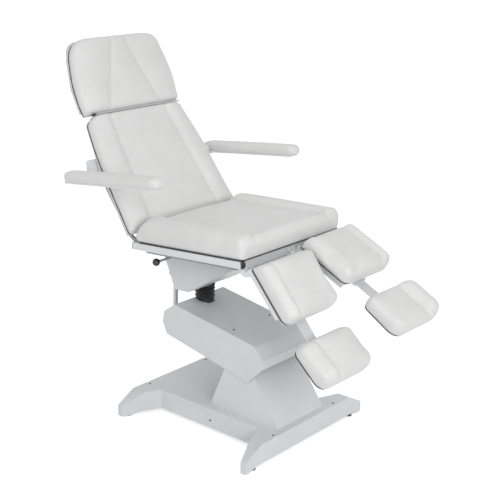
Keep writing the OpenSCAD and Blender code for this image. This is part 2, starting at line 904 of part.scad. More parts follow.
module turntable_upper() {
    color(black) at_seat() translate([0, swivel_v, -cap_top]) difference() {
        translate([0, 0, -cap_t - cap_skirt]) cylinder(h = cap_t + cap_skirt, r = cap_r, $fn = 128);
        translate([0, 0, -cap_t - cap_skirt - over])
            cylinder(h = cap_skirt + over, r = drum_r + cap_gap, $fn = 128);
        translate([0, 0, -cap_t - cap_skirt - over])
            cylinder(h = cap_t + cap_skirt + 2 * over, r = spindle_r + run, $fn = 64);
    }
}

// Lever pivoted on the deck, and its ball knob
module at_lever() {
    at_seat() translate([-lever_x, lever_v, -deck_top]) children();
}

module lock_lever() {
    color(steel) at_lever() {
        difference() {
            translate([0, 0, slide]) cylinder(h = lever_stud, r = lever_stud_r, $fn = 48);
            translate([0, 0, -over])
                cylinder(h = lever_stud + 3 * over, r = lever_pin_r + run, $fn = 48);
        }
        translate([0, 0, lever_h]) rotate([0, -90 - lever_drop, -lever_yaw])
            translate([0, 0, lever_root])
                cylinder(h = lever_reach - lever_root, r = lever_r, $fn = 32);
    }
}

module lever_knob() {
    color(black) at_lever() translate([0, 0, lever_h])
        rotate([0, -90 - lever_drop, -lever_yaw]) translate([0, 0, lever_reach])
            difference() {
                sphere(knob_r, $fn = 64);
                translate([0, 0, -2 * knob_r]) cylinder(h = 2 * knob_r, r = lever_r, $fn = 32);
            }
}

seat_half = seat_w / 2;
rail_o = seat_half - rail_out;
rail_i = rail_o - rail_w;
frame_x = rail_i - back_gap;
ear_start = 10;
leg_ear_gap = 1;
leg_bar_w = 14;
leg_ear_x = [[ear_start, ear_start + ear_t], [rail_i - ear_t, rail_i]];
actuator_w = back_w + crank_r * crank_mean_share;
actuator_v0 = -30;

module seat_frame() {
    top = -pan_t;
    low = -pan_t - rail_h;
    half = rail_w / 2;
    bore = [low + rail_wall, top - rail_wall];
    color(white) at_seat() difference() {
        union() {
            difference() {
                union() {
                    pair() box([rail_i, rail_o], [-rail_front, rail_rear], [low, top]);
                    for (v = cross_v) box([-rail_i, rail_i], [v - half, v + half], [low, top]);
                }
                pair() box([rail_i + rail_wall, rail_o - rail_wall],
                    [-rail_front - over, rail_rear + over], bore);
                for (v = cross_v) box([-rail_i - half, rail_i + half],
                    [v - half + rail_wall, v + half - rail_wall], bore);
            }
            difference() {
                box([-rail_i, rail_i], beam_v, [-beam_low, top]);
                box([-rail_i - over, rail_i + over], [beam_v[0] + beam_wall, beam_v[1] + over],
                    [-beam_low + beam_wall, top - beam_wall]);
            }
            box([-mount_plate / 2, mount_plate / 2],
                [swivel_v - mount_plate / 2, swivel_v + mount_plate / 2], [-cap_top, low]);
            pair() for (e = leg_ear_x) along_x(e[0], e[1]) {
                translate([-leg_v, -leg_w]) circle(knuckle_r, $fn = 48);
                polygon([[-leg_v - knuckle_r, -leg_w], [-leg_v, -leg_w - knuckle_r],
                         [beam_v[1], -beam_low], [beam_v[1], top], [beam_v[0], top]]);
            }
            for (s = [-1, 1]) along_x(lever_side + s * act_ear_x - act_ear_t,
                                      lever_side + s * act_ear_x + act_ear_t)
                polygon([[actuator_v0 - act_ear_fore, low + over],
                         [actuator_v0 - act_ear_half, -actuator_w - act_ear_low],
                         [actuator_v0 + act_ear_half, -actuator_w - act_ear_low],
                         [actuator_v0, low + over]]);
            box([lever_side - trunnion_x, lever_side + trunnion_x],
                [actuator_v0 - act_ear_fore, actuator_v0], [low, low + act_pad_t]);
        }
        pair() for (e = leg_ear_x) translate([0, -leg_v, -leg_w])
            pin_x(e[0] - over, e[1] + over, hinge_rod_r);
        translate([0, back_v, -back_w]) pin_x(-seat_w, seat_w, back_pin_r);
        translate([lever_side, actuator_v0, -actuator_w])
            pin_x(-2 * trunnion_x, 2 * trunnion_x, trunnion_r);
        translate([0, swivel_v, -cap_top - over])
            cylinder(h = rail_h, r = spindle_r + spindle_gap, $fn = 48);
    }
}

// Plastic caps in the open ends of both side rails
module rail_caps() {
    x = [rail_i + rail_wall + plug_gap, rail_o - rail_wall - plug_gap];
    z = [-pan_t - rail_h + rail_wall + plug_gap, -pan_t - rail_wall - plug_gap];
    mid = -pan_t - rail_h / 2;
    nose = [for (a = [-90:15:90]) [-rail_front - cap_out * cos(a), mid + rail_h / 2 * sin(a)]];
    color(black) at_seat() pair() {
        along_x(rail_i, rail_o) polygon(nose);
        box([rail_i, rail_o], [rail_rear, rail_rear + cap_rear], [-pan_t - rail_h, -pan_t]);
        box(x, [-rail_front - over, -rail_front + plug_len], z);
        box(x, [rail_rear - cap_rear, rail_rear + over], z);
    }
}

// Open channels under the cross members, inside the rails
module seat_subframe() {
    color(steel) at_seat() pair() difference() {
        box([rail_i - sub_w, rail_i], sub_v, [-sub_low, -pan_t - rail_h]);
        box([rail_i - sub_w - over, rail_i - beam_wall], [sub_v[0] - over, sub_v[1] + over],
            [-sub_low + beam_wall, -pan_t - rail_h - beam_wall]);
    }
}

module seat_board() {
    color(black) at_seat() box([-seat_half + board_inset, seat_half - board_inset],
        [-seat_front + board_inset, seat_rear - board_inset - board_short], [-pan_t, -seat_sink]);
}

// Share of full height at a distance from a rounded edge
function rise(d, r) = d >= r ? 1 : d <= 0 ? 0 : sqrt(1 - pow(1 - d / r, 2));

// Places along a cushion: close together at both ends
function stations(len, r0, r1, n, m) = concat(
    [for (i = [0:n]) r0 * (1 - cos(90 * i / n))],
    [for (i = [1:m - 1]) r0 + (len - r0 - r1) * i / m],
    [for (i = [n:-1:0]) len - r1 * (1 - cos(90 * i / n))]);

// Cross-section with drawn-in foot, rounded shoulders and a given top
function section(l, r, t, edge, tuck, top) = let (q = min(edge, t * 0.45)) concat(
    [[l + tuck, 0], [l, t * 0.4]],
    [for (a = [20:35:90]) [l + q - q * cos(a), t - q + q * sin(a)]],
    [for (p = top) [l + q + p[0] * (r - l - 2 * q), t + p[1]]],
    [for (a = [90:-35:20]) [r - q + q * cos(a), t - q + q * sin(a)]],
    [[r, t * 0.4], [r - tuck, 0]]);

// Closed skin through equal rings
module skin(rings) {
    n = len(rings[0]);
    m = len(rings);
    points = concat([for (r = rings) each r],
        [[for (k = [0:2]) ([for (p = rings[0]) p[k]] * [for (p = rings[0]) 1]) / n]],
        [[for (k = [0:2]) ([for (p = rings[m - 1]) p[k]] * [for (p = rings[0]) 1]) / n]]);
    faces = concat(
        [for (j = [0:m - 2]) for (i = [0:n - 1]) each let (k = (i + 1) % n)
            [[j * n + i, (j + 1) * n + k, j * n + k], [j * n + i, (j + 1) * n + i, (j + 1) * n + k]]],
        [for (i = [0:n - 1]) [m * n, i, (i + 1) % n]],
        [for (i = [0:n - 1]) [m * n + 1, (m - 1) * n + (i + 1) % n, (m - 1) * n + i]]);
    polyhedron(points, faces);
}

// Height added at share s of the half width: sunk middle, seam, and a ridge that falls to the edge
ridge_share = 0.4;
seam_share = 0.02;
function pad_top(s, seam, dip, groove, side) = let (x = (s - seam) / (1 - seam))
    x > ridge_share ? side * (1 - pow((x - ridge_share) / (1 - ridge_share), 1.7))
        : x > seam_share ? -dip + (dip + side) * sin(90 * x / ridge_share)
        : x > -seam_share ? -groove - dip : -dip;

// Shares across a cushion with a seam on both sides
function both_sides(seam) = let (h = [0, 0.45, 0.85, 0.97, 1],
    out = [0.16, 0.4, 0.72, 1],
    right = concat([for (s = h) s * seam], [for (s = out) seam + s * (1 - seam)]))
    concat([for (i = [len(right) - 1:-1:1]) -right[i]], right);

function top_both(seam, dip, groove, side, fade) = [for (s = both_sides(seam))
    [(s + 1) / 2, fade * pad_top(abs(s), seam, dip, groove, side)]];

module seat_cushion() {
    len = seat_front + seat_rear;
    corner = 34;
    edge = 26;
    tuck = 6;
    lead = 9;
    tail = 1;
    dip = 8;
    groove = 5;
    side = 12;
    fall = 7;
    front_tuck = 8;
    rear_tuck = 24;
    rear_len = 60;
    ys = stations(len, corner, corner * 1.6, 5, 9);
    color(leather) at_seat() translate([0, -seat_front, -seat_sink])
        skin([for (y = ys) let (
            d0 = y, d1 = len - y,
            w = seat_half - corner * 0.6 * (1 - rise(d0, corner * 0.6))
                - corner * 0.5 * (1 - rise(d1, corner * 0.5)),
            full = seat_t + seat_sink - fall + seat_rise * min(1, y / (len * 0.8)),
            t = full * min(rise(d0 + lead, corner),
                           0.1 + 0.9 * pow(rise(d1 + tail, corner * 2.7), 1.8)),
            fade = min(1, d0 / corner, d1 / corner / 2),
            back = front_tuck * (1 - min(1, d0 / corner)) - rear_tuck * (1 - min(1, d1 / rear_len)),
            seam = 0.7 - 0.1 * y / len)
            [for (p = section(-w, w, t, edge, tuck, top_both(seam, dip, groove, side, fade)))
                [p[0], y + back * (1 - p[1] / t), p[1]]]]);
}

// Half width of the back at a distance from its hinge
function back_half(l) = l < arm_l ? back_low + (back_mid - back_low) * (l / arm_l)
    : back_mid + (back_top - back_mid) * pow((l - arm_l) / (back_len - arm_l), 1.3);

module back_cushion() {
    len = back_len - back_start;
    corner = 40;
    edge = 20;
    tuck = 6;
    lead = 0.5;
    tail = 2;
    dip = 13;
    groove = 5;
    side = 7;
    fall = 2;
    seam_low = 186;
    seam_turn = 36;
    mitre = 0.42;
    ys = stations(len, corner * 0.7, corner, 5, 9);
    color(leather) at_back() skin([for (y = ys) let (
        d1 = len - y, l = back_start + y,
        w = back_half(l) - corner * 0.3 * (1 - rise(y, corner * 0.3))
            - corner * (1 - rise(d1, corner)),
        t = (back_t - fall) * min(0.3 + 0.7 * rise(y + lead, corner * 0.9),
                                  0.3 + 0.7 * rise(d1 + tail, corner * 0.5)),
        fade = min(1, y / corner, d1 / corner),
        lean = mitre * (1 - min(1, y / len * 3)),
        seam = (seam_low - seam_turn * y / len) / w)
        [for (p = section(-w, w, t, edge, tuck, top_both(seam, dip, groove, side, fade)))
            [p[0], l + lean * p[1], p[1]]]]);
}

module head_cushion() {
    start = 1;
    len = head_len - start;
    edge = 22;
    small = 24;
    tuck = 6;
    lead = 1;
    dip = 4;
    groove = 4;
    side = 6;
    seam_low = 141;
    seam_turn = 101;
    ys = stations(len, small, head_corner, 5, 7);
    lean = tan(head_angle);
    color(leather) at_head() translate([0, 0, head_seat]) skin([for (y = ys) let (
        d1 = len - y, s = y / len,
        w0 = s < 0.35 ? head_low + (head_mid - head_low) * sin(90 * s / 0.35)
            : head_mid + (head_high - head_mid) * pow((s - 0.35) / 0.45, 1.6),
        w = w0 - small * 0.6 * (1 - rise(y, small * 0.6))
            - head_corner * (1 - rise(d1, head_corner)),
        t = back_t * min(0.35 + 0.65 * rise(y + lead, small),
                         0.35 + 0.65 * rise(d1 + lead, small * 1.3)),
        fade = min(1, y / small, d1 / head_corner),
        seam = (seam_low - seam_turn * min(1, s * 1.15)) / w)
        [for (p = section(-w, w, t, edge, tuck, top_both(seam, dip, groove, side, fade)))
            [p[0], start + y + lean * p[1] * (1 - min(1, y / len * 3)), p[1]]]]);
}

// Leg and foot cushions have one seam, beside a raised outer side
function one_side(seam) = concat(
    [for (s = [0, 0.12, 0.3, 0.5, 0.75, 0.95, 1]) s * seam],
    [for (s = [0.16, 0.4, 0.72, 1]) seam + s * (1 - seam)]);

function top_one(seam, dip, groove, side, inner, fade) = [for (s = one_side(seam))
    [s, fade * (pad_top(s, seam, dip, groove, side) + inner * (1 - rise(s, 0.3)))]];

module leg_cushion(side) {
    len = leg_len - leg_start;
    corner = 30;
    edge = 22;
    tuck = 5;
    near = 4;
    near_r = 12;
    lead = 1;
    dip = 9;
    groove = 4;
    ridge = 5;
    mitre = 11;
    ys = stations(len, corner * 0.6, corner, 4, 7);
    color(leather) at_leg(side) translate([leg_gap, leg_start, leg_seat])
        skin([for (y = ys) let (
            d1 = len - y,
            r = leg_wide - corner * (1 - rise(d1, corner)) - near * (1 - rise(y, near_r)),
            l = near * (1 - rise(y, near_r)) + corner * (1 - rise(d1, corner)),
            t = leg_t * min(0.5 + 0.5 * rise(y + lead, corner * 0.8),
                            0.4 + 0.6 * rise(d1 + lead, corner)),
            back = mitre * (1 - min(1, y / corner)),
            fade = min(1, y / corner * 1.5, d1 / corner))
            [for (p = section(l, r, t, edge, tuck, top_one(0.8, dip, groove, ridge, dip, fade)))
                [p[0], y - back * (1 - p[1] / t), p[1]]]]);
}

// Outer side raised high, far end lifted into a lip: the heel lies in the hollow between
module foot_cushion(side) {
    corner = 44;
    edge = 24;
    tuck = 8;
    lip = 14;
    lead = 1;
    dip = 9;
    groove = 5;
    ridge = 15;
    seat_n = foot_plate_n + foot_plate_t;
    ys = stations(foot_len, corner * 0.7, corner, 4, 7);
    color(leather) at_foot(side) translate([foot_shift - foot_w / 2, 0, seat_n])
        skin([for (y = ys) let (
            d1 = foot_len - y,
            near = corner * 0.7 * (1 - rise(y, corner * 0.7)),
            far = corner * (1 - rise(d1, corner)),
            t = (foot_t + lip * pow(y / foot_len, 2))
                * min(0.45 + 0.55 * rise(y + lead, corner * 0.7),
                      0.4 + 0.6 * rise(d1 + lead, corner)),
            fade = min(1, y / corner * 1.5, d1 / corner * 1.3))
            [for (p = section(far + near, foot_w - far - near, t, edge, tuck,
                              top_one(0.68, dip, groove, ridge, dip, fade)))
                [p[0], y, p[1]]]]);
}
foot_plate_n = 14;
foot_shift = 4;
foot_plate_t = 4;

module arm_pad(side) {
    edge = 18;
    tuck = 3;
    lead = 1;
    crown = 1.5;
    half = pad_w / 2;
    ys = stations(pad_len, half, half, 4, 3);
    color(leather) at_pad(side) skin([for (y = ys) let (
        d1 = pad_len - y,
        w = half * min(0.3 + 0.7 * rise(y, half), 0.3 + 0.7 * rise(d1, half)),
        t = pad_t * min(0.6 + 0.4 * rise(y + lead, half), 0.6 + 0.4 * rise(d1 + lead, half)))
        [for (p = section(-w, w, t, edge, tuck, [[0.5, crown]])) [p[0], y, p[1] - pad_t]]]);
}

// Armrest frame: +Y runs back along the pad from its front end, Z = 0 is its top
module at_pad(side) {
    translate([side * arm_x, pad_y, pad_z]) rotate([-pad_slope, 0, 0]) children();
}

// Place of the armrest pivot, carried by the back
back_turn = back_angle - seat_tilt;
hinge_y = seat_y + back_v * cos(seat_tilt) - back_w * sin(seat_tilt);
hinge_z = seat_z - back_v * sin(seat_tilt) - back_w * cos(seat_tilt);
arm_py = hinge_y + arm_l * cos(back_turn) + arm_n * sin(back_turn);
arm_pz = hinge_z + arm_l * sin(back_turn) - arm_n * cos(back_turn);
arm_pin_r = 8;
hub_r = 15;
hub_gap = 8;
hub_in = back_low + hub_gap;
hub_set = 3;
hub_out = arm_x - pad_w / 2 - hub_set;

module armrest(side) {
    channel_t = 10;
    channel_w = 46;
    web = 6;
    front_in = 16;
    rear_in = 12;
    dy = arm_py - pad_y;
    dz = arm_pz - pad_z;
    a = dy * cos(pad_slope) - dz * sin(pad_slope);
    b = dy * sin(pad_slope) + dz * cos(pad_slope);
    color(white) at_pad(side) {
        difference() {
            union() {
                box([-channel_w / 2, channel_w / 2], [front_in, pad_len - rear_in],
                    [-pad_t - channel_t, -pad_t]);
                box([side > 0 ? -(arm_x - hub_out + web) : -channel_w / 2,
                     side > 0 ? channel_w / 2 : arm_x - hub_out + web],
                    [a - hub_r * 2, a + hub_r], [-pad_t - channel_t, -pad_t]);
                along_x(side > 0 ? -(arm_x - hub_out + web) : arm_x - hub_out,
                        side > 0 ? -(arm_x - hub_out) : arm_x - hub_out + web) {
                    translate([a, b]) circle(hub_r, $fn = 64);
                    polygon([[a - hub_r * 2, -pad_t - channel_t], [a + hub_r, -pad_t - channel_t],
                             [a + hub_r, b], [a - hub_r, b]]);
                }
                translate([0, a, b])
                    pin_x(side > 0 ? -(arm_x - hub_in) : arm_x - hub_out,
                          side > 0 ? -(arm_x - hub_out) : arm_x - hub_in, hub_r);
            }
            translate([0, a, b]) pin_x(-arm_w, arm_w, arm_pin_r + run);
        }
    }
}

module arm_bracket(side) {
    in_x = 200;
    flat = 6;
    ear = 8;
    foot_half = 50;
    boss = 3;
    rim = 10;
    proud = 2;
    color(white) at_back() scale([side, 1, 1]) {
        box([in_x, hub_in - slide], [arm_l - foot_half, arm_l + foot_half],
            [-shell_t - flat, -shell_t]);
        along_x(hub_in - slide - ear, hub_in - slide) {
            translate([arm_l, -arm_n]) circle(hub_r + boss, $fn = 64);
            polygon([[arm_l - foot_half, -shell_t], [arm_l - foot_half, -shell_t - flat],
                     [arm_l - hub_r, -arm_n - rim], [arm_l + hub_r, -arm_n - rim],
                     [arm_l + foot_half, -shell_t - flat], [arm_l + foot_half, -shell_t]]);
        }
        translate([0, arm_l, -arm_n]) pin_x(hub_in - slide - ear, hub_out + proud, arm_pin_r);
    }
}

quarter = [0, 90];
half_turn = [-90, 90];

// Outline of the back's board, with rounded upper corners
module back_plan(inset, low) {
    top = back_len - inset;
    r = 36;
    right = concat(
        [[back_half(low) - inset, low], [back_mid - inset, arm_l]],
        arc([back_top - inset - r, top - r], r, quarter, 8));
    polygon(concat(right, mirrored(right)));
}

module back_board() {
    deep = 12;
    rim = 3;
    color(white) at_back() {
        translate([0, 0, -shell_t]) linear_extrude(shell_t * 0.4) back_plan(deep, back_start + deep);
        translate([0, 0, -shell_t * 0.6]) linear_extrude(shell_t * 0.6)
            back_plan(rim, back_start + rim);
    }
}

module back_frame() {
    low = -shell_t - frame_n;
    ear_w = 10;
    tail = 14;
    color(steel) at_back() difference() {
        union() {
            pair() box([frame_x - rail_w, frame_x], [frame_foot - tail, frame_upper], [low, -shell_t]);
            pair() along_x(frame_x - ear_w, frame_x) {
                circle(back_ear_r, $fn = 64);
                polygon([[0, -back_ear_r], [frame_foot, low], [frame_foot, -shell_t],
                         [frame_foot * 0.62, -shell_t], [back_ear_r * 0.7, back_ear_r * 0.7]]);
            }
            box([-frame_x, frame_x], [frame_foot, frame_foot + rail_w], [low, -shell_t]);
            box([-frame_x, frame_x], [frame_upper - rail_w, frame_upper], [low, -shell_t]);
            pair() box([spine_x, spine_x + rail_w], [frame_foot, frame_top], [low, -shell_t]);
            box([-spine_x - rail_w, spine_x + rail_w], [frame_top - rail_w, frame_top],
                [low, -shell_t]);
            pair() for (x = head_ear_x) along_x(x, x + head_ear_t) head_ear(low);
            for (x = crank_x) along_x(lever_side + x, lever_side + x + crank_t) back_crank(low);
            translate([lever_side, crank_place[0], crank_place[1]])
                pin_x(crank_x[0], -crank_x[0], crank_pin_r);
        }
        pin_x(-seat_w, seat_w, back_pin_r + run);
        pair() translate([0, head_l, -head_n]) pin_x(head_ear_x[0] - ear_w, spine_x + ear_w, head_pin_r);
    }
}

// Ear that carries the headrest's pin, past the upper end of the board
module head_ear(low) {
    r = 9;
    lean = 3;
    translate([head_l, -head_n]) circle(r, $fn = 48);
    polygon([[frame_top - rail_w, low], [frame_top, low], [head_l + lean, -head_n - r],
             [head_l - lean, -head_n + r * 0.9], [back_len, -shell_t],
             [frame_top - rail_w, -shell_t]]);
}

// The crank hangs below the hinge at the middle of the back's travel
crank_rest = -90 - back_angle + crank_mid;
crank_place = crank_r * [cos(crank_rest), sin(crank_rest)];
module back_crank(low) {
    r = 10;
    side = 9.5;
    foot = 82;
    web = 18;
    translate(crank_place) circle(r, $fn = 48);
    polygon([crank_place + [-0.95, 0.4] * side, crank_place + [0.4, -1] * side,
             [frame_foot, low], [foot, low], [foot, low + web / 2], [frame_foot - r / 2, low + web]]);
}

module back_hinge_pins() {
    color(steel) at_back() pair() pin_x(frame_x - back_pin_in, rail_o, back_pin_r);
}

// The actuator lies beside the turntable, under the seat
module back_actuator_tube() {
    len = 160;
    r = 14;
    bore = 11.5;
    floor_t = 30;
    block_x = 16.7;
    block_r = 12;
    color(steel) at_seat() translate([lever_side, actuator_v0, -actuator_w]) difference() {
        union() {
            rotate([-90, 0, 0]) cylinder(h = len, r = r, $fn = 64);
            pin_x(-block_x, block_x, block_r);
            pin_x(-trunnion_x, trunnion_x, trunnion_r);
        }
        translate([0, floor_t, 0]) rotate([-90, 0, 0]) cylinder(h = len, r = bore, $fn = 64);
    }
}

module back_actuator_rod() {
    len = 190;
    r = 6;
    eye = 10;
    eye_x = 11;
    color(steel) at_back() translate([lever_side, crank_place[0], crank_place[1]])
        rotate([-back_angle, 0, 0]) difference() {
            union() {
                translate([0, -len, 0]) rotate([-90, 0, 0]) cylinder(h = len, r = r, $fn = 48);
                pin_x(-eye_x, eye_x, eye);
            }
            pin_x(-2 * eye_x, 2 * eye_x, crank_pin_r + run);
        }
}

module head_board() {
    t = 12;
    in = 4;
    top_in = 3;
    side_in = 8;
    low = [20, 120];
    r = head_corner - side_in + 2 * over;
    knuckle = [head_ear_x[0] + head_ear_t + slide, head_ear_x[1] - slide];
    reach = 70;
    boss = 8;
    color(white) at_head() {
        translate([0, 0, head_seat - t]) linear_extrude(t) {
            right = concat([[head_low - in, low[0]], [head_mid - in, low[1]],
                            [head_high - in / 2, head_len * 0.78]],
                           arc([head_high - r - side_in, head_len - top_in - r], r, quarter, 8));
            polygon(concat(right, mirrored(right)));
        }
        pair() difference() {
            union() {
                pin_x(knuckle[0], knuckle[1], boss);
                box(knuckle, [0, reach], [0, head_seat - t + over]);
            }
            pin_x(knuckle[0] - boss, knuckle[1] + boss, head_pin_r + run);
        }
    }
}

module head_hinge_pins() {
    color(steel) at_back() pair() translate([0, head_l, -head_n]) pin_x(head_pin_x[0], head_pin_x[1], head_pin_r);
}

module leg_hinge_rods() {
    color(steel) at_seat() pair() translate([0, -leg_v, -leg_w])
        pin_x(leg_ear_x[0][0], rail_i + leg_ear_gap + leg_bar_w, hinge_rod_r);
}

// Each leg rest: knuckles, two bars, a cross bar, a board and the guide of the extension bar
guide_l = [62, 226];
bar_x = leg_gap + leg_wide / 2;
leg_low = 12;
leg_board = 10;
leg_short = 20;
leg_inset = 12;
leg_heel = 6;
leg_cross_l = [48, 186];
outer_n = [24, 38];
outer_l = [7, 206];
guide_wall = 4;
guide_side = 5;
module leg_frame(side) {
    inner = leg_ear_x[0][1] + leg_ear_gap;
    outer = rail_i + leg_ear_gap;
    high = leg_seat - leg_board;
    color(white) at_leg(side) difference() {
        union() {
            box([inner, inner + leg_bar_w], [0, leg_len - leg_short], [leg_low, high]);
            box([inner, inner + leg_bar_w], [-leg_heel, leg_board], [0, high]);
            pin_x(inner, inner + leg_bar_w, knuckle_r);
            along_x(outer, outer + leg_bar_w) outer_bar();
            for (l = leg_cross_l) box([inner, outer + over], [l, l + leg_bar_w], [leg_low, high]);
            box([leg_gap + leg_inset, leg_gap + leg_wide - leg_inset],
                [leg_start + leg_inset, leg_len - leg_inset], [high, leg_seat]);
            box([bar_x - bar_w / 2 - guide_side, bar_x + bar_w / 2 + guide_side], guide_l,
                [bar_n - bar_t / 2 - guide_wall, leg_low + over]);
        }
        pin_x(0, rail_o, hinge_rod_r + run);
        box([bar_x - bar_w / 2 - slide, bar_x + bar_w / 2 + slide],
            [guide_l[0] - over, guide_l[1] + over],
            [bar_n - bar_t / 2 - slide, bar_n + bar_t / 2 + slide]);
    }
}

// Side outline of the outer bar, whose plate comes down to the hinge
module outer_bar() {
    r = (outer_n[1] - outer_n[0]) / 2;
    circle(knuckle_r, $fn = 48);
    polygon(concat([[outer_l[0], outer_n[1]], [outer_l[0], knuckle_r * 0.5]],
        [[knuckle_r * 0.3, -knuckle_r * 0.7], [knuckle_r * 1.6, -knuckle_r * 0.4],
         [knuckle_r * 3, outer_n[0]]],
        arc([outer_l[1] - r, outer_n[0] + r], r, half_turn, 8)));
}

module extension_bar(side) {
    start = 88;
    color(steel) at_leg(side) translate([bar_x, 0, bar_n]) difference() {
        union() {
            box([-bar_w / 2, bar_w / 2], [start, foot_l], [-bar_t / 2, bar_t / 2]);
            translate([0, foot_l, 0]) pin_x(-bar_w / 2, bar_w / 2, foot_boss_r);
        }
        translate([0, foot_l, 0]) pin_x(-bar_w, bar_w, foot_pin_r + run);
    }
}
foot_boss_r = 9;
foot_pin_r = 5;
foot_ear = 6;
foot_pin_end = 4;

module foot_tray(side) {
    in = 14;
    low = [8, 34];
    cut = 20;
    corner = 40;
    reach = 70;
    r = 10;
    heel = 8;
    sink = 4;
    ear_x = bar_w / 2 + slide;
    color(white) at_foot(side) {
        translate([foot_shift, 0, foot_plate_n]) linear_extrude(foot_plate_t) {
            right = concat([[foot_w / 2 - in - cut, low[0]], [foot_w / 2 - in, low[1]]],
                           arc([foot_w / 2 - in - corner, foot_len - in - corner], corner,
                               quarter, 6));
            polygon(concat(right, mirrored(right)));
        }
        pair() along_x(ear_x, ear_x + foot_ear) {
            circle(r, $fn = 48);
            polygon([[-heel, 0], [0, -heel], [reach, foot_plate_n - sink],
                     [reach, foot_plate_n + over], [heel, foot_plate_n + over], [-heel, sink]]);
        }
        pin_x(-ear_x - foot_ear - foot_pin_end, ear_x + foot_ear + foot_pin_end, foot_pin_r);
    }
}

// Clamping knob on the same side of both foot pads
module foot_knob(side) {
    start = bar_w / 2 + slide + foot_ear;
    r = 12;
    h = 16;
    color(black) at_foot(side) scale([-side, 1, 1]) translate([-start, 0, 0]) rotate([0, -90, 0])
        difference() {
            rotate_extrude($fn = 48) polygon([[0, 0], [r * 0.6, 0], [r * 0.92, h / 4],
                [r, h * 0.75], [r * 0.75, h], [0, h]]);
            translate([0, 0, -over]) cylinder(h = foot_pin_end + over, r = foot_pin_r, $fn = 48);
        }
}

base_frame();
levelling_feet();
base_cover_rear();
base_cover_front();
base_screws();
pedestal();
lift_pins();
lift_actuator_tube();
lift_actuator_rod();
lift_arm();
arm_cover();
arm_cover_screws();
head_pin();
level_link();
bellows();
head_column();
tilt_pin();
tilt_frame();
tilt_housing();
tilt_rod();
turntable_lower();
turntable_upper();
lock_lever();
lever_knob();
seat_frame();
rail_caps();
seat_subframe();
seat_board();
seat_cushion();
back_actuator_tube();
back_actuator_rod();
back_hinge_pins();
back_frame();
back_board();
back_cushion();
arm_bracket(-1);  // arm_bracket_right
arm_bracket(1);  // arm_bracket_left
armrest(-1);  // armrest_right
armrest(1);  // armrest_left
arm_pad(-1);  // arm_pad_right
arm_pad(1);  // arm_pad_left
head_hinge_pins();
head_board();
head_cushion();
leg_hinge_rods();
leg_frame(-1);  // leg_frame_right
leg_frame(1);  // leg_frame_left
leg_cushion(-1);  // leg_cushion_right
leg_cushion(1);  // leg_cushion_left
extension_bar(-1);  // extension_bar_right
extension_bar(1);  // extension_bar_left
foot_tray(-1);  // foot_tray_right
foot_tray(1);  // foot_tray_left
foot_knob(-1);  // foot_knob_right
foot_knob(1);  // foot_knob_left
foot_cushion(-1);  // foot_cushion_right
foot_cushion(1);  // foot_cushion_left
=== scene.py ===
# %% [markdown]
# This lesson dresses a podiatry chair: a white treatment chair on a lifting arm, with a splayed
# sheet-metal base, a reclining back and two separate leg rests. The metal pieces come from a packed
# CAD model and keep their shapes. Blender's part is the look of every surface, and the padding.

import json
import math
from typing import NamedTuple

import bmesh
import bpy
import numpy as np
from mathutils import Matrix, Vector
from mathutils.bvhtree import BVHTree

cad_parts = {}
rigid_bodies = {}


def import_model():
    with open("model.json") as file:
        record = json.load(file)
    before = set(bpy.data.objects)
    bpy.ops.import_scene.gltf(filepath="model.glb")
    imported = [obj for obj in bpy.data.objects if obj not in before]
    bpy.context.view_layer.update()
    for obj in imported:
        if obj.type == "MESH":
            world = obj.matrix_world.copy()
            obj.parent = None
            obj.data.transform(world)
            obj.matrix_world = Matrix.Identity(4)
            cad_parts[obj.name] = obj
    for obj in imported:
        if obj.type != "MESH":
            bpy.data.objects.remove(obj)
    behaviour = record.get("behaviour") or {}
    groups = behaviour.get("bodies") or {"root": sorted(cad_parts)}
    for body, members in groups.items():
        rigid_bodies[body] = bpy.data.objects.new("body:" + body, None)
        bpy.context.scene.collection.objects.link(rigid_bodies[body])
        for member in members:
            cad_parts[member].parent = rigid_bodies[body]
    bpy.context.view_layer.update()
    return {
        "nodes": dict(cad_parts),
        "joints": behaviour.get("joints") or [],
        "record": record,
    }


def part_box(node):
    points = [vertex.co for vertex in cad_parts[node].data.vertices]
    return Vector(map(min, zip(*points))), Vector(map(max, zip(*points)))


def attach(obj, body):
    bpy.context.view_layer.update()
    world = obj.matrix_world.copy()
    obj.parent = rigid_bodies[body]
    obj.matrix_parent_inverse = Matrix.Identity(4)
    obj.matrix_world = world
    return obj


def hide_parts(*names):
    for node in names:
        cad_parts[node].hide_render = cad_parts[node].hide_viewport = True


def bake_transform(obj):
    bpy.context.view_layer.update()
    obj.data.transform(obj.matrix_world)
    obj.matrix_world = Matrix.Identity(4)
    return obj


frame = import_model()
nodes = frame["nodes"]
joints = {joint["name"]: joint for joint in frame["joints"]}
SIDES = ("right", "left")
print("pieces:", len(nodes), "joints:", len(joints))

# %% [markdown]
# The camera stands where the photographer stood: in front of the chair, to the occupant's right,
# half a metre higher than the headrest, and far enough away that parallel edges hardly converge.
# Its place and axes were worked out from the chair's own right angles, so they are set as a matrix.
# A long lens on a 36 mm sensor keeps the whole chair in a square picture.

# %% Camera
CAMERA_PLACE = Vector((-3.1629, -2.5968, 1.9719))
CAMERA_RIGHT = Vector((0.63606, -0.77107, 0.02966))
CAMERA_UP = Vector((0.21419, 0.21334, 0.95321))
CAMERA_BACK = Vector((-0.74132, -0.59994, 0.30085))
SENSOR = 36.0
LENS = 82.41
FARTHEST_SEEN = 30.0


def axes_at(place, x, y, z):
    """The matrix of something at a place, whose own axes lie along x, y and z."""
    return Matrix((
        (x[0], y[0], z[0], place[0]),
        (x[1], y[1], z[1], place[1]),
        (x[2], y[2], z[2], place[2]),
        (0, 0, 0, 1)))


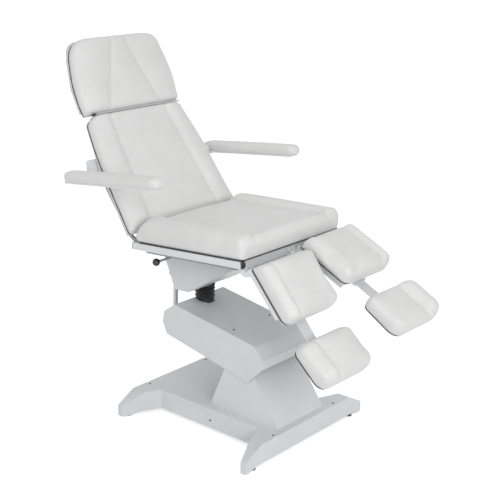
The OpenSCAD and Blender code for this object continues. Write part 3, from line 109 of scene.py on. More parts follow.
camera = bpy.data.objects.new("camera", bpy.data.cameras.new("camera"))
bpy.context.scene.collection.objects.link(camera)
camera.data.sensor_width = SENSOR
camera.data.lens = LENS
camera.data.clip_end = FARTHEST_SEEN
camera.matrix_world = axes_at(CAMERA_PLACE, CAMERA_RIGHT, CAMERA_UP, CAMERA_BACK)
bpy.context.scene.camera = camera
print("camera to chair:", round(CAMERA_PLACE.length, 2), "m")

# %% [markdown]
# A node group is a small machine with named sockets. Each effect here, such as leather grain or the
# faint ripple of powder paint, is built once as a group and placed in every material that needs it.

# %% Helpers for node groups and materials
FLOAT = "NodeSocketFloat"


def new_group(name, inputs, outputs):
    """A shader group with float inputs {name: default} and float outputs."""
    group = bpy.data.node_groups.new(name, "ShaderNodeTree")
    for socket, value in inputs.items():
        made = group.interface.new_socket(name=socket, in_out="INPUT", socket_type=FLOAT)
        made.default_value = value
    for socket in outputs:
        group.interface.new_socket(name=socket, in_out="OUTPUT", socket_type=FLOAT)
    return group, group.nodes.new("NodeGroupInput"), group.nodes.new("NodeGroupOutput")


def add(tree, kind, **settings):
    """A node of a kind, with its properties and its inputs set by name."""
    node = tree.nodes.new(kind)
    for name, value in settings.items():
        if hasattr(node, name):
            setattr(node, name, value)
        else:
            node.inputs[name.replace("_", " ")].default_value = value
    return node


def maths(tree, operation, a, b):
    """A Math node fed by sockets or plain numbers."""
    node = tree.nodes.new("ShaderNodeMath")
    node.operation = operation
    for index, value in enumerate((a, b)):
        if isinstance(value, (int, float)):
            node.inputs[index].default_value = value
        else:
            tree.links.new(value, node.inputs[index])
    return node.outputs[0]


def remap(tree, value, low, high, to_low=0.0, to_high=1.0):
    """A Map Range node that spreads low to high over to_low to to_high."""
    node = add(tree, "ShaderNodeMapRange", From_Min=low, From_Max=high, To_Min=to_low,
               To_Max=to_high)
    tree.links.new(value, node.inputs["Value"])
    return node.outputs["Result"]


def noise(group, where, scale, **settings):
    """A noise texture that reads a place from one socket and its scale from another."""
    texture = add(group, "ShaderNodeTexNoise", **settings)
    group.links.new(where, texture.inputs["Vector"])
    group.links.new(scale, texture.inputs["Scale"])
    return texture


# %% [markdown]
# Leatherette has a pebbled skin: shallow rounded cells about a millimetre across, with fine creases
# between them. Voronoi cells give the pebbles, and noise bends them so that no row shows.

# %% Group: leatherette grain
BEND_SCALE = 0.35
BEND = 0.0006
CREASE_SHARE = 0.22


def leather_grain():
    group, source, result = new_group(
        "leatherette grain", {"Cells": 900.0, "Patches": 9.0}, ("Height", "Mottle"))
    where = group.nodes.new("ShaderNodeTexCoord").outputs["Object"]
    bend = noise(group, where, maths(group, "MULTIPLY", source.outputs["Cells"], BEND_SCALE),
                 Detail=2.0)
    shift = group.nodes.new("ShaderNodeVectorMath")
    shift.operation = "MULTIPLY_ADD"
    group.links.new(bend.outputs["Color"], shift.inputs[0])
    shift.inputs[1].default_value = (BEND, BEND, BEND)
    group.links.new(where, shift.inputs[2])
    cells = add(group, "ShaderNodeTexVoronoi", feature="DISTANCE_TO_EDGE")
    group.links.new(shift.outputs[0], cells.inputs["Vector"])
    group.links.new(source.outputs["Cells"], cells.inputs["Scale"])
    pebble = remap(group, cells.outputs["Distance"], 0.0, CREASE_SHARE)
    patches = noise(group, where, source.outputs["Patches"], Detail=4.0, Roughness=0.6)
    group.links.new(pebble, result.inputs["Height"])
    group.links.new(patches.outputs["Fac"], result.inputs["Mottle"])
    return group


LEATHER_GRAIN = leather_grain()

# %% [markdown]
# Powder paint is baked on, and its surface has a soft ripple like orange peel. It also gathers a
# little grey where hands and shoes rub: the group puts out that ripple and a patchy rub mask.

# %% Group: powder coat
def powder_coat():
    group, source, result = new_group(
        "powder coat", {"Ripple": 320.0, "Patches": 7.0}, ("Height", "Patch"))
    where = group.nodes.new("ShaderNodeTexCoord").outputs["Object"]
    ripple = noise(group, where, source.outputs["Ripple"], Detail=1.5, Roughness=0.4)
    patch = noise(group, where, source.outputs["Patches"], Detail=5.0, Roughness=0.62)
    group.links.new(ripple.outputs["Fac"], result.inputs["Height"])
    group.links.new(patch.outputs["Fac"], result.inputs["Patch"])
    return group


POWDER_COAT = powder_coat()

# %% [markdown]
# Turned pins and drawn rods keep fine parallel tool marks, and a thread has its fibres. Noise that
# is squeezed along one axis gives such lines, and a narrow part of its range gives their streaks.

# %% Group: turned lines
LINE_STRETCH = 0.06
STREAK_RANGE = (0.35, 0.65)


def turned_lines():
    group, source, result = new_group("turned lines", {"Lines": 900.0}, ("Height", "Streak"))
    where = group.nodes.new("ShaderNodeTexCoord")
    stretch = group.nodes.new("ShaderNodeMapping")
    stretch.inputs["Scale"].default_value = (LINE_STRETCH, 1.0, 1.0)
    group.links.new(where.outputs["Object"], stretch.inputs["Vector"])
    lines = noise(group, stretch.outputs["Vector"], source.outputs["Lines"], Detail=3.0)
    group.links.new(lines.outputs["Fac"], result.inputs["Height"])
    group.links.new(remap(group, lines.outputs["Fac"], *STREAK_RANGE), result.inputs["Streak"])
    return group


TURNED_LINES = turned_lines()

# %% [markdown]
# Paint thins on sharp edges and is rubbed there first. Pointiness says how sharp a point of the
# mesh is, and noise breaks the worn line up, so that it comes and goes along an edge.

# %% Group: edge wear
SHARP_RANGE = (0.52, 0.62)


def edge_wear():
    group, source, result = new_group("edge wear", {"Amount": 0.5, "Grain": 60.0}, ("Edge",))
    geometry = group.nodes.new("ShaderNodeNewGeometry")
    where = group.nodes.new("ShaderNodeTexCoord").outputs["Object"]
    break_up = noise(group, where, source.outputs["Grain"], Detail=4.0)
    sharp = remap(group, geometry.outputs["Pointiness"], *SHARP_RANGE)
    rough = maths(group, "MULTIPLY", sharp, break_up.outputs["Fac"])
    group.links.new(maths(group, "MULTIPLY", rough, source.outputs["Amount"]),
                    result.inputs["Edge"])
    return group


EDGE_WEAR = edge_wear()
print("groups:", [group.name for group in bpy.data.node_groups])

# %% [markdown]
# Each material keeps its Principled shader to itself. The groups only hand it masks and heights: a
# mask mixes two near colours and moves the roughness a little, and a height feeds one Bump node.
# Four short helpers name a group with its values, and a material adds them up.

# %% Material builder
COAT_ROUGHNESS = 0.2
MASK_RANGE = (0.3, 0.7)
MIX_LOW, MIX_HIGH, MIX_RESULT = 6, 7, 2  # colour sockets of a Mix node: two in, one out


def finish_of(name, low, high, roughness, groups, bump=0.0, distance=0.0002, metallic=0.0,
              coat=0.0, sheen=0.0, spread=0.06):
    """A material whose colour runs from low to high by the masks of its groups.

    Each group comes with its mask's name and its own values, and the first gives the bump."""
    material = bpy.data.materials.new(name)
    material.use_nodes = True
    tree = material.node_tree
    shader = tree.nodes["Principled BSDF"]
    shader.inputs["Metallic"].default_value = metallic
    shader.inputs["Coat Weight"].default_value = coat
    shader.inputs["Coat Roughness"].default_value = COAT_ROUGHNESS
    shader.inputs["Sheen Weight"].default_value = sheen
    placed = []
    for group, mask, settings in groups:
        node = tree.nodes.new("ShaderNodeGroup")
        node.node_tree = group
        for socket, value in settings.items():
            node.inputs[socket].default_value = value
        placed.append(node.outputs[mask])
    share = remap(tree, placed[0], *MASK_RANGE)
    for extra in placed[1:]:
        share = maths(tree, "MAXIMUM", share, extra)
    tint = tree.nodes.new("ShaderNodeMix")
    tint.data_type = "RGBA"
    tree.links.new(share, tint.inputs[0])
    tint.inputs[MIX_LOW].default_value = (*low, 1)
    tint.inputs[MIX_HIGH].default_value = (*high, 1)
    tree.links.new(tint.outputs[MIX_RESULT], shader.inputs["Base Color"])
    tree.links.new(remap(tree, share, 0.0, 1.0, roughness - spread, roughness + spread),
                   shader.inputs["Roughness"])
    if bump:
        ridge = add(tree, "ShaderNodeBump", Strength=bump, Distance=distance)
        tree.links.new(placed[0].node.outputs["Height"], ridge.inputs["Height"])
        tree.links.new(ridge.outputs["Normal"], shader.inputs["Normal"])
    return material


def grey(value, warm=0.0):
    """A grey of a given value, a little warmer where asked."""
    return (value * (1 + warm), value, value * (1 - warm))


def grain_of(cells, patches):
    """Leatherette, as a list of one group for finish_of."""
    return [(LEATHER_GRAIN, "Mottle", {"Cells": cells, "Patches": patches})]


def paint_of(ripple, patches):
    return [(POWDER_COAT, "Patch", {"Ripple": ripple, "Patches": patches})]


def lines_of(count):
    return [(TURNED_LINES, "Streak", {"Lines": count})]


def wear_of(amount, spots):
    return [(EDGE_WEAR, "Edge", {"Amount": amount, "Grain": spots})]


# %% [markdown]
# The chair is nearly all white, so its whites have to differ as they do on the real one: soft
# neutral leatherette, cooler powder-painted covers and brighter painted bars. The rest is black
# rubber and plastic, grey painted mechanism and a little bare steel.

# %% The chair's finishes
LEATHER = finish_of(
    "white leatherette", grey(0.77, 0.004), grey(0.83, 0.004), 0.42, grain_of(850.0, 7.0),
    bump=0.3, distance=0.00025, sheen=0.08, spread=0.05)
THREAD = finish_of(
    "white thread", grey(0.72), grey(0.82), 0.6, lines_of(2500.0), bump=0.2, sheen=0.2)
COVER_PAINT = finish_of(
    "cover paint", (0.72, 0.735, 0.755), (0.78, 0.79, 0.805), 0.38,
    paint_of(340.0, 5.0) + wear_of(0.3, 90.0), bump=0.12, distance=0.0003, coat=0.15)
FRAME_PAINT = finish_of(
    "frame paint", (0.76, 0.77, 0.785), (0.82, 0.825, 0.835), 0.34,
    paint_of(420.0, 11.0) + wear_of(0.3, 120.0), bump=0.12, coat=0.2)
BOARD_COVERING = finish_of(
    "board covering", grey(0.7), grey(0.77), 0.55, grain_of(1300.0, 12.0),
    bump=0.2, distance=0.00015)
GREY_PAINT = finish_of(
    "grey paint", (0.3, 0.31, 0.33), (0.36, 0.37, 0.39), 0.42,
    paint_of(380.0, 9.0) + wear_of(0.6, 140.0), bump=0.15, coat=0.1)
GALVANISED = finish_of(
    "grey rod", (0.5, 0.51, 0.52), (0.6, 0.605, 0.61), 0.4,
    lines_of(700.0) + wear_of(0.4, 200.0), bump=0.1, distance=0.0001, metallic=0.6)
BRIGHT_STEEL = finish_of(
    "bright steel", grey(0.52), grey(0.64), 0.3,
    lines_of(1200.0) + wear_of(0.5, 200.0), bump=0.15, distance=0.0001, metallic=1.0, spread=0.08)
BLACK_STEEL = finish_of(
    "black steel", grey(0.018), grey(0.032), 0.4,
    paint_of(380.0, 12.0) + wear_of(0.8, 160.0), bump=0.12, coat=0.1)
RUBBER = finish_of(
    "black rubber", grey(0.012), grey(0.03), 0.5, paint_of(900.0, 25.0),
    bump=0.25, distance=0.0001, spread=0.1)
BLACK_PLASTIC = finish_of(
    "black plastic", grey(0.012), grey(0.022), 0.28, paint_of(1500.0, 30.0),
    bump=0.08, distance=0.0001, coat=0.25)
# Near-black for the black_board slot and for the strips of painted shade under the cushions
BLACK_BOARD_AND_SHADE_STRIP = finish_of(
    "black lining", grey(0.02), grey(0.035), 0.85, grain_of(1600.0, 40.0),
    bump=0.4, distance=0.0003, sheen=0.1)

BY_SLOT = {
    "upholstery": LEATHER, "painted_covers": COVER_PAINT, "painted_frame": FRAME_PAINT,
    "board_covering": BOARD_COVERING, "black_board": BLACK_BOARD_AND_SHADE_STRIP, "bright_steel": BRIGHT_STEEL,
    "grey_steel": GREY_PAINT, "black_steel": BLACK_STEEL, "black_rubber": RUBBER,
    "black_plastic": BLACK_PLASTIC}

# %% [markdown]
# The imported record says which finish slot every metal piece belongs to, so the pieces get their
# materials in one loop. Pressed and folded sheet never has knife edges. A weld, the joining of the
# small triangles on each flat, a fine bevel and even shading are added as modifiers, which leave
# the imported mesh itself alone.

# %% Dress the metal pieces
SHEET_COVERS = ("base_cover_rear", "base_cover_front", "arm_cover", "tilt_housing")
NO_BEVEL = ("bellows", "levelling_feet", "base_screws", "arm_cover_screws", "lever_knob")
SHEET_EDGE = 0.0016
METAL_EDGE = 0.0007
EDGE_STEPS = 2
WELD_UNDER = 0.00002
FLAT_UNDER = math.radians(0.2)
SHARP_OVER = math.radians(32)
FLATS_FIRST = 100
slot_of = {part["node"]: part["material_slot"] for part in frame["record"]["subparts"]}


def soften(node, width):
    """Fine bevels on every sharp edge, and flats that shade as flats."""
    weld = node.modifiers.new("weld", "WELD")
    weld.merge_threshold = WELD_UNDER
    flat = node.modifiers.new("join flats", "DECIMATE")
    flat.decimate_type = "DISSOLVE"
    flat.angle_limit = FLAT_UNDER
    bevel = node.modifiers.new("soft edges", "BEVEL")
    bevel.width = width
    bevel.segments = EDGE_STEPS
    bevel.limit_method = "ANGLE"
    bevel.angle_limit = SHARP_OVER
    even = node.modifiers.new("even shading", "WEIGHTED_NORMAL")
    even.weight = FLATS_FIRST


for name, node in nodes.items():
    node.data.materials.clear()
    node.data.materials.append(BY_SLOT[slot_of[name]])
    if slot_of[name] != "upholstery" and name not in NO_BEVEL:
        soften(node, SHEET_EDGE if name in SHEET_COVERS else METAL_EDGE)
nodes["tilt_rod"].data.materials[0] = GALVANISED
nodes["lock_lever"].data.materials[0] = GALVANISED
for name in ("base_screws", "arm_cover_screws"):
    nodes[name].data.materials[0] = BLACK_STEEL
for side in SIDES:
    nodes[f"extension_bar_{side}"].data.materials[0] = FRAME_PAINT
print("dressed", len(nodes), "pieces")

# %% [markdown]
# Every cushion is shaped in the frame of the piece that carries it, so that the numbers read like a
# pattern: across, along, and up from the board. The frames come from the chair's own joints.

# %% Frames for the padding
BACK_ANGLE = 58.2
HEAD_ANGLE = 13.0
FOOT_TURN = {"right": 6.0, "left": -6.0}
SWIVEL_BEHIND = 0.080
TURNTABLE_BELOW = 0.043
ACROSS = Vector((1, 0, 0))

seat_up = Vector(joints["swivel"]["axis"])
seat_back = seat_up.cross(ACROSS)
seat_origin = (Vector(joints["swivel"]["pos_m"]) - SWIVEL_BEHIND * seat_back
               + TURNTABLE_BELOW * seat_up)
seat_back.normalize()
SEAT = axes_at(seat_origin, ACROSS, seat_back, ACROSS.cross(seat_back))


def turned(matrix, place, degrees):
    """The frame at a place, turned about its own X from another frame."""
    return Matrix.Translation(place) @ matrix.to_3x3().to_4x4() @ Matrix.Rotation(
        math.radians(degrees), 4, "X")


BACK = turned(SEAT, joints["recline"]["pos_m"], BACK_ANGLE)
HEAD = turned(BACK, joints["headrest_tilt"]["pos_m"], HEAD_ANGLE)
LEG = {}
FOOT = {}
for side, outward in zip(SIDES, (-1, 1)):
    hinge = joints[f"leg_{side}_hinge"]["pos_m"]
    down = joints[f"leg_{side}_extension"]["axis"]
    up = ACROSS.cross(Vector(down)) * -1
    LEG[side] = axes_at((0, hinge[1], hinge[2]), ACROSS * outward, down, up)
    FOOT[side] = turned(LEG[side], joints[f"footpad_{side}_tilt"]["pos_m"], FOOT_TURN[side])
print("seat frame at", [round(value, 3) for value in seat_origin])

# %% [markdown]
# A cushion is drawn as a stack of rings from one end to the other. Each ring runs along the flat
# underside, up a side that bulges and draws in again, over a rounded shoulder and across the top.
# The top follows a profile: a sunk middle, a seam, a slope up to a ridge, and a fall to the edge.

# %% Ring helpers
CREST_SHARE = 0.46


def rounded(distance, radius):
    """Share of full height at a distance in from an edge of a given roundness."""
    t = np.clip(1 - np.asarray(distance, float) / radius, 0, 1)
    return np.sqrt(1 - t * t)


def ease(t):
    """A smooth step from 0 to 1."""
    t = np.clip(t, 0, 1)
    return t * t * (3 - 2 * t)


def fading(share):
    """1 at the start, falling evenly to 0 where the share reaches 1."""
    return 1 - min(1, share)


def ring_points(left, right, height, shoulder, tuck, across=49, side=9):
    """Points of one ring as (x, z). height gives the top's height at an x."""
    xs = np.linspace(left + shoulder, right - shoulder, across)
    top = np.stack([xs, height(xs)], 1)
    ends = []
    for x, sign in ((left, 1), (right, -1)):
        crest = float(height(np.array([x + sign * shoulder]))[0])
        r = min(shoulder, crest * CREST_SHARE)
        angles = np.radians(np.linspace(0, 90, side))
        arc = np.stack([x + sign * (shoulder - shoulder * np.cos(angles)),
                        crest - r + r * np.sin(angles)], 1)
        low = np.linspace(0, 1, side)[:-1]
        wall = np.stack([x + sign * tuck * (1 - np.sin(low * math.pi / 2)), low * (crest - r)], 1)
        ends.append(np.concatenate([wall, arc[:-1]]))
    flat = np.linspace(right - tuck, left + tuck, across // 2)[1:-1]
    bottom = np.stack([flat, np.zeros_like(flat)], 1)
    return np.concatenate([ends[0], top, ends[1][::-1], bottom])


# %% [markdown]
# Both ends of a cushion need the same facts: how far its corners draw the sides in, how round it is
# seen from the side, and over what length its raised sides appear. They are written once per end,
# and one walk along the cushion turns them into numbers for every ring.

# %% The ends of a cushion
class End(NamedTuple):
    """Lengths in metres from the end of a cushion, and low, a share of its full height."""
    turn: float  # rings stand close together up to here
    cut: float  # the corners draw the sides in by this much
    nose: float  # roundness seen from the side
    low: float  # height at the very end
    fade: float  # the raised sides have appeared here
    fade_edge: float = 0.0
    edge: float = 0.001
    cut_radius: float = 0.0  # 0 where it equals cut
    power: float = 1.0


def nose(distance, radius, low, power=1.0):
    """Share of full height near an end that is still low at its very edge."""
    return low + (1 - low) * rounded(distance, radius) ** power


def stations(length, start, end, middle, rows=11):
    """Places along a cushion, close together where its ends are rounded."""
    turn = np.radians(np.linspace(0, 90, rows))
    first = start * (1 - np.cos(turn))
    last = length - end * (1 - np.cos(turn))[::-1]
    between = np.linspace(first[-1], last[0], middle)[1:-1]
    return np.concatenate([first, between, last])


def walk(length, near, far, middle, rows=11):
    """Yields a place, the corners' cut, the share of full height and the relief that shows."""
    for y in stations(length, near.turn, far.turn, middle, rows):
        cut, shares, reliefs = 0.0, [], [1]
        for distance, end in ((y, near), (length - y, far)):
            cut += end.cut * (1 - rounded(distance, end.cut_radius or end.cut))
            shares.append(nose(distance + end.edge, end.nose, end.low, end.power))
            reliefs.append((distance + end.fade_edge) / end.fade)
        yield y, cut, min(shares), min(reliefs)


# %% [markdown]
# Rings of equal length become a closed skin: four-sided faces between neighbours and one face at
# each end. The other helpers put a mesh into the scene, apply a modifier for good, rebuild a piece
# from even squares, and read or write all the points of a mesh at once.

# %% Skin and mesh helpers
SMOOTH_SHARE = 0.5


def new_mesh(name, verts, faces):
    """A mesh of points and of faces given by the points' numbers."""
    mesh = bpy.data.meshes.new(name)
    mesh.from_pydata(verts, [], faces)
    return mesh


def skin_mesh(name, rings):
    """A closed mesh through rings of equal length."""
    count = len(rings[0])
    verts = [tuple(p) for ring in rings for p in ring]
    faces = []
    for j in range(len(rings) - 1):
        for i in range(count):
            k = (i + 1) % count
            faces.append((j * count + i, (j + 1) * count + i, (j + 1) * count + k, j * count + k))
    faces.append(tuple(range(count)))
    last = (len(rings) - 1) * count
    faces.append(tuple(last + i for i in reversed(range(count))))
    mesh = new_mesh(name, verts, faces)
    bm = bmesh.new()
    bm.from_mesh(mesh)
    bmesh.ops.recalc_face_normals(bm, faces=bm.faces)
    bm.to_mesh(mesh)
    bm.free()
    return mesh


def link(mesh):
    """A mesh put into the scene as a piece of the same name."""
    piece = bpy.data.objects.new(mesh.name, mesh)
    bpy.context.scene.collection.objects.link(piece)
    return piece


def apply_modifier(piece, modifier):
    """Makes what a modifier shows the piece's own mesh."""
    bpy.context.view_layer.objects.active = piece
    bpy.ops.object.select_all(action="DESELECT")
    piece.select_set(True)
    bpy.ops.object.modifier_apply(modifier=modifier.name)


def even_out(piece, voxel, rounds):
    """Rebuilds a closed piece from even squares and smooths their steps away."""
    remesh = piece.modifiers.new("even squares", "REMESH")
    remesh.mode = "VOXEL"
    remesh.voxel_size = voxel
    apply_modifier(piece, remesh)
    smooth = piece.modifiers.new("ease", "SMOOTH")
    smooth.factor = SMOOTH_SHARE
    smooth.iterations = rounds
    apply_modifier(piece, smooth)


def coordinates(mesh):
    """All points of a mesh, one row each."""
    flat = np.zeros(len(mesh.vertices) * 3)
    mesh.vertices.foreach_get("co", flat)
    return flat.reshape(-1, 3)


def set_coordinates(mesh, points):
    """Moves every point of a mesh to its row."""
    mesh.vertices.foreach_set("co", np.ascontiguousarray(points, float).ravel())
    mesh.update()


def shade_smooth(mesh):
    """Shades a mesh as one rounded surface."""
    mesh.polygons.foreach_set("use_smooth", [True] * len(mesh.polygons))


# %% [markdown]
# Foam under tight leatherette swells where nothing holds it. The cloth solver shows that: the
# drawn shape is remeshed into even squares, its underside and its seams are pinned, and air
# pressure pushes the rest out for twenty steps. How far a point may go is capped, and the result is
# kept as a plain mesh.

# %% Swelling
CLOTH_QUALITY = 5
CLOTH_MASS = 0.3
STRETCH_STIFFNESS = 25
BEND_STIFFNESS = 6
PRESSURE = 4
STEPS = 20
NO_MOVE = 1e-9


def swell(piece, pinned, cap):
    """Runs the cloth solver on a closed piece and keeps the capped result."""
    before = coordinates(piece.data)
    group = piece.vertex_groups.new(name="pin")
    for index in np.nonzero(pinned(before))[0]:
        group.add([int(index)], 1.0, "ADD")
    cloth = piece.modifiers.new("cloth", "CLOTH")
    cloth.settings.quality = CLOTH_QUALITY
    cloth.settings.mass = CLOTH_MASS
    cloth.settings.tension_stiffness = STRETCH_STIFFNESS
    cloth.settings.compression_stiffness = STRETCH_STIFFNESS
    cloth.settings.bending_stiffness = BEND_STIFFNESS
    cloth.settings.use_pressure = True
    cloth.settings.uniform_pressure_force = PRESSURE
    cloth.settings.vertex_group_mass = "pin"
    cloth.settings.effector_weights.gravity = 0
    cloth.collision_settings.use_collision = False
    for step in range(1, STEPS + 1):
        bpy.context.scene.frame_set(step)
    shown = piece.evaluated_get(bpy.context.evaluated_depsgraph_get())
    after = coordinates(shown.data)
    bpy.context.scene.frame_set(1)
    piece.modifiers.remove(cloth)
    piece.vertex_groups.clear()
    move = after - before
    far = np.linalg.norm(move, axis=1, keepdims=True)
    set_coordinates(piece.data, before + move * np.minimum(1, cap / np.maximum(far, NO_MOVE)))
    return float(far.max())


# %% [markdown]
# Seams come after the swelling, because a remesh would wash them out. A seam is a sharp groove in a
# wider pull of the foam, with faint gathers along it. It is pressed only into what faces up, so it
# runs out at the cushion's sides.

# %% Seams
GROOVE, GROOVE_WIDE = 0.0042, 0.0035
PULL, PULL_WIDE = 0.0026, 0.011
GATHER, GATHER_WIDE, GATHER_STEP = 0.0004, 0.012, 0.016
FACING_GAIN = 1.6


def bell(off, wide):
    """1 on a seam, fading on both sides of it."""
    return np.exp(-(off / wide) ** 2)


def press_seams(mesh, seams):
    """Presses every seam into the faces of a mesh that look up."""
    points = coordinates(mesh)
    normals = np.zeros(len(points) * 3)
    mesh.vertices.foreach_get("normal", normals)
    facing = np.clip(normals.reshape(-1, 3)[:, 2] * FACING_GAIN, 0, 1)
    for seam in seams:
        off = points[:, 0] - seam(points[:, 1])
        dent = GROOVE * bell(off, GROOVE_WIDE) + PULL * bell(off, PULL_WIDE)
        wave = np.sin(points[:, 1] * 2 * math.pi / GATHER_STEP)
        points[:, 2] -= (dent + GATHER * wave * bell(off, GATHER_WIDE)) * facing
    set_coordinates(mesh, points)


# %% [markdown]
# One helper upholsters every cushion: it skins the rings, swells them, adds one subdivision,
# presses the seams in, and carries the cushion to its place on the piece that holds it.

# %% Upholstery
VOXEL = 0.006
SMOOTHINGS = 4
CAP = 0.007
PINNED_BELOW = 0.004
SEAM_BAND = 0.007
SEAMS_ABOVE = 0.02


def upholster(name, node, body, place, rings, seams=(), pinned_below=PINNED_BELOW, cap=CAP,
              edge=None):
    """A finished cushion. edge says which points are pinned besides its underside and seams."""
    piece = link(skin_mesh(name, rings))
    even_out(piece, VOXEL, SMOOTHINGS)

    def held(points):
        pinned = points[:, 2] < pinned_below
        if edge:
            pinned |= edge(points)
        for seam in seams:
            near = np.abs(points[:, 0] - seam(points[:, 1])) < SEAM_BAND
            pinned |= near & (points[:, 2] > SEAMS_ABOVE)
        return pinned

    moved = swell(piece, held, cap)
    fine = piece.modifiers.new("fine", "SUBSURF")
    fine.levels = 1
    apply_modifier(piece, fine)
    press_seams(piece.data, seams)
    piece.data.transform(place)
    piece.data.materials.clear()
    piece.data.materials.append(LEATHER)
    shade_smooth(piece.data)
    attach(piece, body)
    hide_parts(node)
    print(name, len(piece.data.vertices), "points, swelled", round(moved * 1000, 1), "mm")
    return piece


# %% [markdown]
# Seat, back and headrest share one section: flat in the middle, a seam, a slope up to a rounded
# ridge, and an outer face that falls to the edge. Only their outlines and seam lines differ.

# %% The common bolstered section
CROWN = 0.006
FALL_POWER = 1.7
SIDE_TUCK = 0.005
SLACK = 0.002


def bolstered(full, seam, ridge, half, dip, drop, fade):
    """Height across a cushion with a sunk middle and raised sides."""
    def height(xs):
        x = np.abs(xs)
        climb = ease((x - seam) / (ridge - seam))
        fall = np.clip((x - ridge) / (half - ridge), 0, 1)
        crown = CROWN * (1 - np.clip(x / seam, 0, 1) ** 2)
        return full + fade * (-dip * (1 - climb) + crown * (x < seam) - drop * fall ** FALL_POWER)
    return height


# %% [markdown]
# The seat cushion is the thickest one. It rises a little to the rear, its lower edge is drawn back
# at the front, and its rear end slopes away to leave room for the back cushion.

# %% Seat cushion
SEAT_HALF = 0.2935
SEAT_FRONT = 0.266
SEAT_REAR = 0.271
SEAT_LONG = SEAT_FRONT + SEAT_REAR
SEAT_SINK = 0.008
SEAT_THICK = 0.079 + SEAT_SINK
SEAT_RISE, SEAT_RISE_SHARE = 0.012, 0.8
SEAT_SEAM, SEAT_SEAM_TAPER = 0.212, 0.012
SEAT_SLOPE, SEAT_FALL = 0.034, 0.02
SEAT_DIP, SEAT_DROP = 0.020, 0.010
SEAT_SHOULDER = 0.022
FRONT_TUCK, FRONT_TUCK_LONG = 0.009, 0.034
REAR_TUCK, REAR_TUCK_LONG = 0.024, 0.06
FRONT_END = End(turn=0.034, cut=0.022, cut_radius=0.024, nose=0.036, low=0.0, edge=0.006,
                fade=0.05, fade_edge=0.006)
REAR_END = End(turn=0.05, cut=0.02, nose=0.092, low=0.1, power=1.8, fade=0.06)


def seat_seam(sign):
    return lambda y: sign * (SEAT_SEAM - SEAT_SEAM_TAPER * (y + SEAT_FRONT) / SEAT_LONG)


def seat_rings():
    rings = []
    for front, cut, share, fade in walk(SEAT_LONG, FRONT_END, REAR_END, middle=26):
        y = front - SEAT_FRONT
        half = SEAT_HALF - cut - SLACK
        full = SEAT_THICK + SEAT_RISE * min(1, front / (SEAT_LONG * SEAT_RISE_SHARE))
        full *= share
        seam = abs(seat_seam(1)(y))
        height = bolstered(full, seam, seam + SEAT_SLOPE, half - SEAT_FALL, SEAT_DIP, SEAT_DROP,
                           fade)
        back = (FRONT_TUCK * fading(front / FRONT_TUCK_LONG)
                - REAR_TUCK * fading((SEAT_LONG - front) / REAR_TUCK_LONG))
        ring = ring_points(-half, half, height, SEAT_SHOULDER, SIDE_TUCK)
        rings.append([(x, y + back * (1 - z / full), z) for x, z in ring])
    return rings


SEAT_CUSHION = SEAT @ Matrix.Translation((0, 0, -SEAT_SINK))
seat_cushion = upholster("seat_upholstery", "seat_cushion", "seat", SEAT_CUSHION, seat_rings(),
                         [seat_seam(-1), seat_seam(1)])

# %% [markdown]
# The back narrows towards its top and has rounded shoulders. Its lower end is cut back at a slant,
# so that it can lean forward and down over the seat cushion without pressing into it.

# %% Back cushion
BACK_START = 0.042
BACK_END = 0.520
BACK_LONG = BACK_END - BACK_START
BACK_THICK = 0.057
BACK_HALF, BACK_TAPER = 0.300, 0.018
SHOULDER = 0.318
SHOULDER_HALF, SHOULDER_TAPER, SHOULDER_POWER = 0.282, 0.032, 1.3
BACK_SEAM, BACK_SEAM_TAPER = 0.190, 0.042
BACK_SLOPE, BACK_FALL = 0.036, 0.018
BACK_DIP, BACK_DROP = 0.016, 0.017
BACK_ROUND = 0.018
BACK_LEAN = 0.42
LEAN_THIRD = 3
BACK_LOW_END = End(turn=0.028, cut=0.012, nose=0.036, low=0.3, edge=0.0005, fade=0.04,
                   fade_edge=0.004)
BACK_TOP_END = End(turn=0.04, cut=0.04, nose=0.02, low=0.3, edge=0.002, fade=0.04,
                   fade_edge=0.004)


def back_half(l):
    """Half the back's width: an even taper, and a rounder one above the shoulders."""
    if l < SHOULDER:
        return BACK_HALF - BACK_TAPER * (l / SHOULDER)
    beyond = (l - SHOULDER) / (BACK_END - SHOULDER)
    return SHOULDER_HALF - SHOULDER_TAPER * beyond ** SHOULDER_POWER


def back_seam(sign):
    return lambda l: sign * (BACK_SEAM - BACK_SEAM_TAPER * (l - BACK_START) / BACK_LONG)


def back_rings():
    rings = []
    for y, cut, share, fade in walk(BACK_LONG, BACK_LOW_END, BACK_TOP_END, middle=26):
        l = BACK_START + y
        half = back_half(l) - cut - SLACK
        seam = abs(back_seam(1)(l))
        height = bolstered(BACK_THICK * share, seam, seam + BACK_SLOPE, half - BACK_FALL, BACK_DIP,
                           BACK_DROP, fade)
        lean = BACK_LEAN * fading(y / BACK_LONG * LEAN_THIRD)
        ring = ring_points(-half, half, height, BACK_ROUND, SIDE_TUCK)
        rings.append([(x, l + lean * z, z) for x, z in ring])
    return rings


back_cushion = upholster("back_upholstery", "back_cushion", "backrest", BACK, back_rings(),
                         [back_seam(-1), back_seam(1)])

# %% [markdown]
# The headrest is widest just above its lower edge and has large rounded upper corners. Its seams
# lean together towards the top, like the sides of a tall trapezium. Its lower face leans over the
# hinge, and it is pinned there, so that it doesn't swell into the back.

